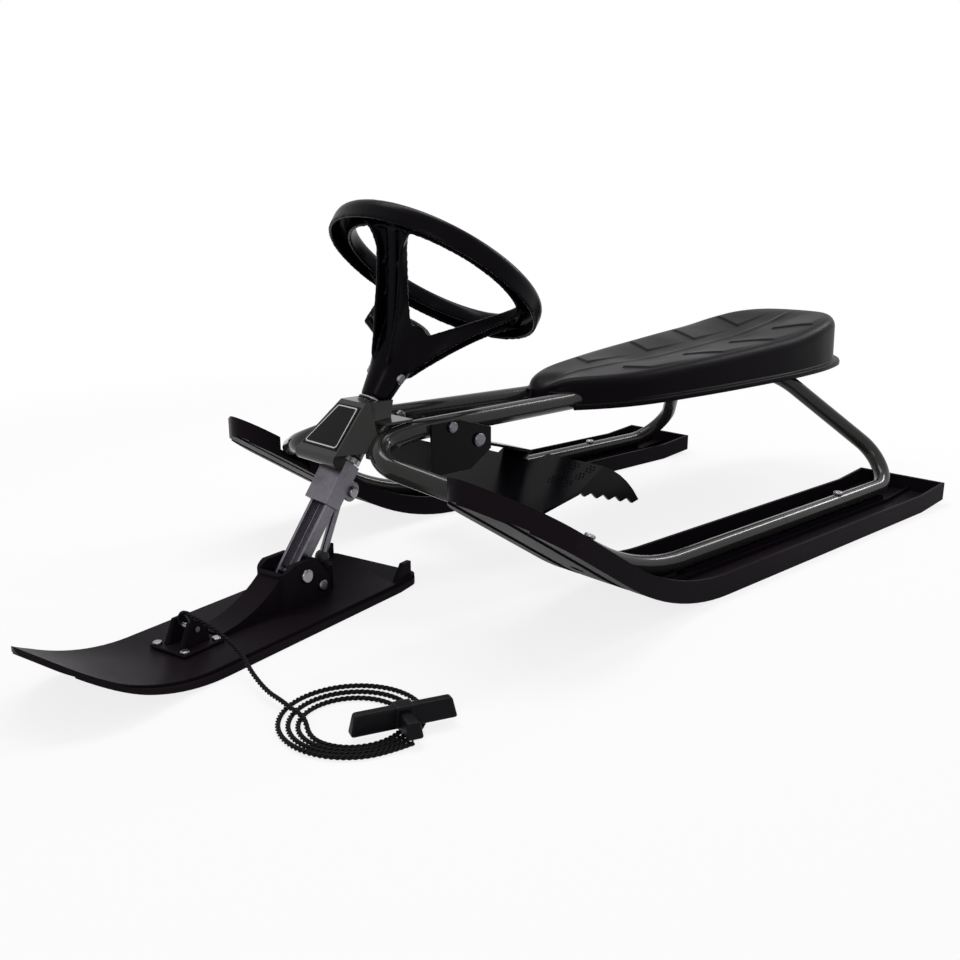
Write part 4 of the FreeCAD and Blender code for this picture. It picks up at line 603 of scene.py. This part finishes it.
BOSS_RADIUS = 7.0
BOSS_SIDES = 24
BOSSES = ((14.0, -372.0, 177.8, 184.5), (36.0, -205.0, 181.6, 192.0))    # half spread, place, foot and head


def drum(foot, head, side, over, sides):
    """Corners and faces of a round bar between two points; the two arms across it are as long as its radius."""
    turns = [2 * math.pi * k / sides for k in range(sides)]
    corners = [end + side * math.cos(turn) + over * math.sin(turn) for end in (foot, head) for turn in turns]
    walls = [(k, (k + 1) % sides, sides + (k + 1) % sides, sides + k) for k in range(sides)]
    return corners, walls + [tuple(reversed(range(sides))), tuple(range(sides, 2 * sides))]


def gathered(shapes):
    """Corners and faces of several closed shapes as one."""
    verts, faces = [], []
    for corners, sides in shapes:
        faces += [tuple(len(verts) + k for k in side) for side in sides]
        verts += corners
    return verts, faces


boss_side, boss_over = Vector((BOSS_RADIUS, 0.0, 0.0)) * MM, Vector((0.0, BOSS_RADIUS, 0.0)) * MM
boss_shapes = []
for spread, y, low, high in BOSSES:
    for x in (spread, -spread):
        foot, head = (Vector((x, y + STATION, z)) * MM for z in (low, high))
        boss_shapes.append(drum(foot, head, boss_side, boss_over, BOSS_SIDES))
made("seat_bosses", *gathered(boss_shapes), seat_plastic, "frame", smooth=False)
for node in ("seat_strap_front", "seat_strap_rear"):
    softened(node, frame_paint, width=0.0006)

# Brake: a folded sheet steel pedal with toothed claws, on an axle in a bracket under the tubes, in gloss black paint.
# A coil spring lifts it again, and dimples in the shape of rosettes give the boots a grip.
brake_paint = coated("brake_paint", colour=(0.0025, 0.0022, 0.0034), dull=0.20, peel=0.05, sheen=0.07)
for node in ("brake_bracket", "brake_lever"):
    softened(node, brake_paint, width=0.0007)
PEDAL_FRONT = (-0.08408, 0.0727)      # y and z of the pedal's lower edge
PEDAL_REAR = (-0.01448, 0.1118)       # and of its upper one
ROSETTES = ((0.0915, 0.90), (0.1125, 0.90), (0.0875, 0.74), (0.1080, 0.74), (0.0807, 0.57), (0.1020, 0.57))
PETALS = 6
PETAL_REACH = 0.0046
DIMPLE_SINK = 0.0002
DIMPLE_SIZES = (0.0014, 0.0007, 0.0013)
slope = math.atan2(PEDAL_REAR[1] - PEDAL_FRONT[1], PEDAL_REAR[0] - PEDAL_FRONT[0])
spots = []
for sign in (-1, 1):
    for x, share in ROSETTES:
        y = PEDAL_FRONT[0] + (PEDAL_REAR[0] - PEDAL_FRONT[0]) * share
        z = PEDAL_FRONT[1] + (PEDAL_REAR[1] - PEDAL_FRONT[1]) * share - DIMPLE_SINK
        spots.append((sign * x, y, z))
        for k in range(PETALS):
            turn = 2 * math.pi * k / PETALS
            side, up = PETAL_REACH * math.cos(turn), PETAL_REACH * math.sin(turn)
            spots.append((sign * x + side, y + up * math.cos(slope), z + up * math.sin(slope)))
brake_points = studded("brake_dimples", spots, (slope, 0.0, 0.0), DIMPLE_SIZES, brake_paint, "brake")
softened("brake_bush", nylon, width=0.0004)
spring_steel = plated("spring_steel", colour=(0.34, 0.34, 0.36), dull=0.35)
softened("brake_spring", spring_steel, width=0.0)

# Steering wheel: one black moulding with a hollow rim, three open channel spokes that flare into it, and a hub.
# The mould's fillets join rim, spokes and hub; a small hook on the hub holds the rope handle.
# The sizes are in millimetres, with heights from the top of the rim, along the column.
WHEEL_PLACE = (0.0, -0.12548, 0.3152)        # middle of the rim's top, in metres
WHEEL_RAKE = 34.3
WHEEL_REST = 17.0
RIM = [                      # radii and heights round the rim's section
    (112.6, -22.0), (112.8, -9.0), (111.8, -4.6), (109.2, -1.6), (105.0, 0.0), (97.5, 0.0), (93.0, -1.6),
    (90.6, -5.0), (89.8, -10.0), (90.4, -18.5), (93.6, -18.5), (94.2, -7.0), (97.5, -4.4), (105.0, -4.4),
    (108.6, -8.0), (109.2, -22.0),
]
RIM_SIDES = 160
HUB = [                      # and round the hub's, which is bored for the column
    (0.01, -70.0), (20.0, -70.0), (25.0, -74.0), (24.0, -96.0), (20.5, -116.0), (17.6, -128.0), (14.0, -153.5),
    (10.4, -153.5), (10.4, -97.0), (0.01, -97.0),
]
HUB_SIDES = 64
SPOKES = 3
FIRST_SPOKE = -90.0
SPOKE_STEPS = 30
SPOKE_ENDS = (14.0, 97.0)    # radii between which a spoke runs
SPOKE_HALF = 14.5
SPOKE_WALL = 3.4
SPOKE_TOP = (-77.0, 73.0)    # height of its top at the hub, and its rise to the rim
RISE_ENDS = (22.0, 75.0)     # radius at which the rise begins, and the length of it
RISE_CURVE = 0.97
SPOKE_DEPTH = (15.0, 31.0)   # depth at the rim, and what the hub's end has more
DEPTH_CURVE = 2.2
RIM_FLARE = (24.0, 15.0)     # length of the flare into the rim, and what it adds to the half width
FLARE_CURVE = 2.4
HUB_FLARE = 30.0             # length of the flare into the hub
HUB_NARROW = 4.0             # by which the foot of the channel's walls draws in there
HUB_WIDE = 7.0               # by which their tops spread there
RIB_HALF = 5.2               # of the rib under a spoke's middle
RIB_DEPTH = 0.55             # as a share of the spoke's depth
GUSSETS = (44.0, 66.0)       # radii of the webs across a channel
GUSSET_HALF = (1.3, 13.0)    # along the spoke and across it
GUSSET_DEPTHS = (2.0, 9.0)   # below the spoke's top
HOOK = ((-15.0, -14.0, -94.0), (-27.0, -28.0, -84.0), (-33.0, -22.0, -66.0))
HOOK_HALF = (4.0, 3.4)       # of its two bars
HOOK_ENDS = (3.0, 2.0)       # by which a bar runs past its two points
BOX_SIDES = [(3, 2, 1, 0), (4, 5, 6, 7), (0, 1, 5, 4), (1, 2, 6, 5), (2, 3, 7, 6), (3, 0, 4, 7)]
MOULD_GRAIN = 0.00142        # size of the cells in which the mould's forms are joined, in metres
FILLET_SHARE = 0.5
FILLET_ROUNDS = 6


def lathe(profile, sides):
    """Ring of faces turned round the upright axis from a closed outline of (radius, height) pairs."""
    count = len(profile)
    turned = []
    for k in range(sides):
        turn = 2 * math.pi * k / sides
        turned += [(radius * math.cos(turn), radius * math.sin(turn), height) for radius, height in profile]
    quads = []
    for k in range(sides):
        for i in range(count):
            j = (i + 1) % count
            quads.append((k * count + i, (k + 1) % sides * count + i, (k + 1) % sides * count + j, k * count + j))
    return turned, quads


def spoke_top(reach):
    """Height of a spoke's top at a radius."""
    return SPOKE_TOP[0] + SPOKE_TOP[1] * max(0.0, (reach - RISE_ENDS[0]) / RISE_ENDS[1]) ** RISE_CURVE


def spoke_outline(reach, share):
    """Section of a spoke at a radius and a share of its length, as sideways places and heights."""
    to_rim = max(0.0, 1.0 - (SPOKE_ENDS[1] - reach) / RIM_FLARE[0])
    to_hub = max(0.0, 1.0 - (reach - SPOKE_ENDS[0]) / HUB_FLARE)
    foot = SPOKE_HALF + RIM_FLARE[1] * to_rim ** FLARE_CURVE - HUB_NARROW * to_hub
    half = foot + HUB_NARROW * to_hub + HUB_WIDE * to_hub ** 2
    high = spoke_top(reach)
    deep = SPOKE_DEPTH[0] + SPOKE_DEPTH[1] * (1 - share) ** DEPTH_CURVE
    low, under, rib = high - deep, high - SPOKE_WALL, high - RIB_DEPTH * deep
    return [(-foot, low), (-half, high), (half, high), (foot, low), (foot - SPOKE_WALL, low),
            (half - SPOKE_WALL, under), (RIB_HALF, under), (RIB_HALF, rib), (-RIB_HALF, rib), (-RIB_HALF, under),
            (-half + SPOKE_WALL, under), (-foot + SPOKE_WALL, low)]


wheel_shapes = [lathe(RIM, RIM_SIDES), lathe(HUB, HUB_SIDES)]
for spoke in range(SPOKES):
    turn = math.radians(360.0 / SPOKES * spoke + FIRST_SPOKE)
    way, cross = (math.cos(turn), math.sin(turn)), (-math.sin(turn), math.cos(turn))
    loops = []
    for k in range(SPOKE_STEPS + 1):
        share = k / SPOKE_STEPS
        reach = SPOKE_ENDS[0] + (SPOKE_ENDS[1] - SPOKE_ENDS[0]) * share
        loops.append([(way[0] * reach + cross[0] * s, way[1] * reach + cross[1] * s, z)
                      for s, z in spoke_outline(reach, share)])
    count = len(loops[0])
    quads = []
    for k in range(SPOKE_STEPS):
        for i in range(count):
            j = (i + 1) % count
            quads.append((k * count + i, k * count + j, (k + 1) * count + j, (k + 1) * count + i))
    quads += [tuple(reversed(range(count))), tuple(SPOKE_STEPS * count + i for i in range(count))]
    wheel_shapes.append(([point for loop in loops for point in loop], quads))
    for reach in GUSSETS:
        thin, half = GUSSET_HALF
        upper, lower = (spoke_top(reach) - depth for depth in GUSSET_DEPTHS)
        gusset = [(way[0] * r + cross[0] * s, way[1] * r + cross[1] * s, z) for r in (reach - thin, reach + thin)
                  for s, z in ((-half, upper), (half, upper), (half, lower), (-half, lower))]
        wheel_shapes.append((gusset, BOX_SIDES))
wheel_turn = Matrix.Rotation(math.radians(-WHEEL_REST), 4, "Z")
for start, end, half in zip(HOOK, HOOK[1:], HOOK_HALF):
    start, end = (wheel_turn @ Vector(point) for point in (start, end))
    along = (end - start).normalized()
    side = along.cross(Vector((0.0, 0.0, 1.0))).normalized()
    over = side.cross(along)
    bar = [point + side * s * half + over * o * half
           for point in (start - along * HOOK_ENDS[0], end + along * HOOK_ENDS[1])
           for s, o in ((-1, -1), (1, -1), (1, 1), (-1, 1))]
    wheel_shapes.append((bar, BOX_SIDES))
wheel_frame = (Matrix.Translation(WHEEL_PLACE) @ Matrix.Rotation(math.radians(-WHEEL_RAKE), 4, "X")
               @ Matrix.Rotation(math.radians(WHEEL_REST), 4, "Z"))
wheel_plastic = moulded("wheel_plastic", colour=(0.0013, 0.0010, 0.0020), dull=0.27, grain=900.0, depth=0.08,
                        sheen=0.05)
wheel_verts, wheel_faces = gathered(wheel_shapes)
wheel_verts = [wheel_frame @ (Vector(v) * MM) for v in wheel_verts]
wheel = made("steering_wheel_skin", wheel_verts, wheel_faces, wheel_plastic)
mould = wheel.modifiers.new("mould", "REMESH")
mould.mode = "VOXEL"
mould.voxel_size = MOULD_GRAIN
mould.use_smooth_shade = True
fillet = wheel.modifiers.new("fillet", "SMOOTH")
fillet.factor = FILLET_SHARE
fillet.iterations = FILLET_ROUNDS
finished(wheel, wheel_plastic)
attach(wheel, "steering")
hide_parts("steering_wheel")

# Fork: folded sheet steel in dull zinc plate, a yoke round the column's foot with an open leg bolted into it.
# A stop rod stands behind the leg, with a rubber ball on its end.
for node, width in (("steering_column", 0.0005), ("fork_yoke", 0.0010), ("fork_leg", 0.0009), ("stop_stay", 0.0006)):
    softened(node, dull_zinc, width)
rubber = coated("rubber", colour=(0.014, 0.014, 0.015), dull=0.6, peel=0.2)
softened("stop_ball", rubber, width=0.0005)

# Front ski: a bowed moulding in the rear skis' plastic, with a pivot tower, heel fins and a ledge along its sides.
# It pitches on a steel pin through the tower, in nylon bushes.
softened("front_ski", ski_plastic, width=0.0010)
softened("pivot_bushes", nylon, width=0.0004)


# Rope anchor: a moulded foot with two tapered ears and a web, screwed to the front ski's deck.
# A steel pin through the ears holds the rope's eye.
def block(low, high, top_low=None, top_high=None):
    """Corners and faces of a block, with a narrower top if one is given, as x and y of its corners."""
    corners = []
    for (x0, y0), (x1, y1), z in ((low[:2], high[:2], low[2]), (top_low or low[:2], top_high or high[:2], high[2])):
        corners += [(x0, y0, z), (x1, y0, z), (x1, y1, z), (x0, y1, z)]
    return corners, BOX_SIDES


def rounded_blocks(name, blocks, place, skin, body, width):
    """Several blocks as one piece, set in place, their edges rounded."""
    corners, faces = gathered(blocks)
    piece = made(name, [place @ Vector(corner) for corner in corners], faces, skin)
    rounded(piece, width, steps=3)
    finished(piece, skin)
    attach(piece, body)
    return piece


SKI_PIVOT = (0.0, -0.315275, 0.0)
SKI_TURN = 13.98
SKI_PLACE = Matrix.Translation(SKI_PIVOT) @ Matrix.Rotation(math.radians(SKI_TURN), 4, "Z")
anchor = rounded_blocks("rope_anchor_skin", [
    block((-0.022, -0.146, 0.0093), (0.022, -0.102, 0.0123)),
    block((-0.0125, -0.139, 0.0120), (-0.0065, -0.109, 0.0330), (-0.0115, -0.130), (-0.0075, -0.118)),
    block((0.0065, -0.139, 0.0120), (0.0125, -0.109, 0.0330), (0.0075, -0.130), (0.0115, -0.118)),
    block((-0.0110, -0.113, 0.0120), (0.0110, -0.109, 0.0240)),
], SKI_PLACE, ski_plastic, "front_ski", width=0.0014)
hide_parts("rope_anchor")
PIN_HALF = 0.0145
PIN_PLACE = (-0.124, 0.0262)          # y and z on the ski
PIN_RADIUS = 0.0024
PIN_SIDES = 16
pin_ends = [Vector((x, *PIN_PLACE)) for x in (-PIN_HALF, PIN_HALF)]
pin_side, pin_over = Vector((0.0, PIN_RADIUS, 0.0)), Vector((0.0, 0.0, PIN_RADIUS))
pin_corners, pin_faces = drum(*pin_ends, pin_side, pin_over, PIN_SIDES)
pin_verts = [SKI_PLACE @ corner for corner in pin_corners]
made("anchor_pin", pin_verts, pin_faces, zinc, "front_ski", smooth=False)

# Pull rope: 4.2 mm three strand black cord, tied to the anchor's pin with an eye and laid in a loose coil.
# Its free end goes into a moulded nylon T handle, which lies on the coil.
ROPE_LEAD = [
    (0.03791, -0.43362, 0.0364), (0.05591, -0.42811, 0.0335), (0.07363, -0.42061, 0.0225),
    (0.09480, -0.41980, 0.0165), (0.11801, -0.42560, 0.0112), (0.14686, -0.42917, 0.0066),
]
COIL_CENTRE = Vector((0.22193, -0.40121))
COIL_NEAR = (0.0410, 0.0044)     # radius on the camera's side, and its growth with each turn
COIL_FAR = (0.0280, 0.0108)      # the same on the far side, where the turns fan out
COIL_FAR_SIDE = 145.0
COIL_TURNS = 3.35
COIL_START = 268.0
COIL_STEPS = 14                  # points in a turn
ON_FLOOR = 0.0023
COIL_ENTRY = (                   # where the lead crosses the turns: angle, turns out from the first, and height
    (207.0, 3.3, 0.0066), (216.0, 2.0, 0.0066), (228.0, 0.7, 0.0066), (243.0, 0.0, 0.0065),
)


def on_coil(angle, turn, height):
    """Point of the coil: an angle in plan, how many turns it has made, and its height."""
    share = (1 + math.cos(math.radians(angle - COIL_FAR_SIDE))) / 2
    near = COIL_NEAR[0] + COIL_NEAR[1] * turn
    far = COIL_FAR[0] + COIL_FAR[1] * turn
    radius = near + (far - near) * share
    way = math.radians(angle)
    return (COIL_CENTRE.x + radius * math.cos(way), COIL_CENTRE.y + radius * math.sin(way), height)


route = ROPE_LEAD + [on_coil(*crossing) for crossing in COIL_ENTRY]
for k in range(int(COIL_TURNS * COIL_STEPS) + 1):
    turn = k / COIL_STEPS
    route.append(on_coil(COIL_START + 360.0 * turn, turn, ON_FLOOR))

rope_line = bpy.data.curves.new("rope_line", "CURVE")
rope_line.dimensions = "3D"
rope_line.resolution_u = 24
spline = rope_line.splines.new("NURBS")
spline.points.add(len(route) - 1)
for point, place in zip(spline.points, route):
    point.co = (*place, 1.0)
spline.order_u = 3
spline.use_endpoint_u = True
rope_guide = bpy.data.objects.new("rope_guide", rope_line)
scene.collection.objects.link(rope_guide)
graph = bpy.context.evaluated_depsgraph_get()
read = bpy.data.meshes.new_from_object(rope_guide.evaluated_get(graph))
rope_points = np.array([v.co for v in read.vertices])
bpy.data.meshes.remove(read)
bpy.data.objects.remove(rope_guide)

STRANDS = 3
STRAND = 0.00100
STRAND_REACH = 0.00110           # from the rope's middle to a strand's
STRAND_STEP = 0.0014
STRAND_SIDES = 7
LAY_LENGTH = 0.0125


def twisted(points, across):
    """Strands laid round a line of points, with the length of the line."""
    runs = np.linalg.norm(np.diff(points, axis=0), axis=1)
    along = np.concatenate([[0.0], np.cumsum(runs)])
    steps = int(along[-1] / STRAND_STEP)
    even = np.linspace(0.0, along[-1], steps)
    line = np.stack([np.interp(even, along, points[:, k]) for k in range(3)], axis=1)
    tangent = np.gradient(line, axis=0)
    tangent /= np.linalg.norm(tangent, axis=1)[:, None]
    side = np.cross(tangent, across)
    side /= np.linalg.norm(side, axis=1)[:, None]
    over = np.cross(side, tangent)
    verts = []
    faces = []
    for strand in range(STRANDS):
        phase = 2 * math.pi * (even / LAY_LENGTH + strand / STRANDS)
        middle = line + STRAND_REACH * (np.cos(phase)[:, None] * side + np.sin(phase)[:, None] * over)
        base = len(verts)
        for k in range(STRAND_SIDES):
            turn = 2 * math.pi * k / STRAND_SIDES
            verts.extend(map(tuple, middle + STRAND * (np.cos(turn) * side + np.sin(turn) * over)))
        for k in range(STRAND_SIDES):
            here = base + k * steps
            there = base + (k + 1) % STRAND_SIDES * steps
            faces.extend((here + i, there + i, there + i + 1, here + i + 1) for i in range(steps - 1))
        faces.append(tuple(base + k * steps for k in range(STRAND_SIDES)))
        faces.append(tuple(base + k * steps + steps - 1 for k in reversed(range(STRAND_SIDES))))
    return verts, faces, float(along[-1])


rope_fibre = coated("rope_fibre", colour=(0.0040, 0.0036, 0.0048), dull=0.55, peel=0.3, sheen=0.10)
strand_verts, strand_faces, rope_length = twisted(rope_points, (0.0, 0.0, 1.0))
rope = made("pull_rope_strands", strand_verts, strand_faces, rope_fibre, "front_ski")
EYE_MIDDLE = (0.0002, -0.124, 0.0312)
EYE_REACH = (0.0060, 0.0016, 0.0068)
EYE_START = -50.0
EYE_SWEEP = 280.0
EYE_STEPS = 40
eye_points = []
for k in range(EYE_STEPS + 1):
    turn = math.radians(EYE_START + EYE_SWEEP * k / EYE_STEPS)
    ways = (math.cos(turn), math.cos(turn), math.sin(turn))
    eye_points.append(SKI_PLACE @ Vector([m + reach * way for m, reach, way in zip(EYE_MIDDLE, EYE_REACH, ways)]))
eye_verts, eye_faces, _ = twisted(np.array(eye_points), SKI_PLACE.to_3x3() @ Vector((0.0, 1.0, 0.0)))
made("rope_eye", eye_verts, eye_faces, rope_fibre, "front_ski")
HANDLE_MIDDLE = (0.2565, -0.3825, 0.0129)
HANDLE_TURN = 71.0
HANDLE_PLACE = Matrix.Translation(HANDLE_MIDDLE) @ Matrix.Rotation(math.radians(HANDLE_TURN), 4, "Z")
handle = rounded_blocks("rope_handle_skin", [
    block((-0.0405, -0.0056, -0.0080), (0.0405, 0.0056, 0.0080), (-0.0370, -0.0044), (0.0370, 0.0044)),
    block((-0.0065, -0.0270, -0.0070), (0.0065, -0.0040, 0.0050), (-0.0050, -0.0240), (0.0050, -0.0040)),
    block((-0.0075, -0.0068, -0.0078), (0.0075, 0.0068, 0.0092)),
], HANDLE_PLACE, nylon, "front_ski", width=0.0022)
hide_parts("rope_handle")
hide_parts("pull_rope", "rope_coil")
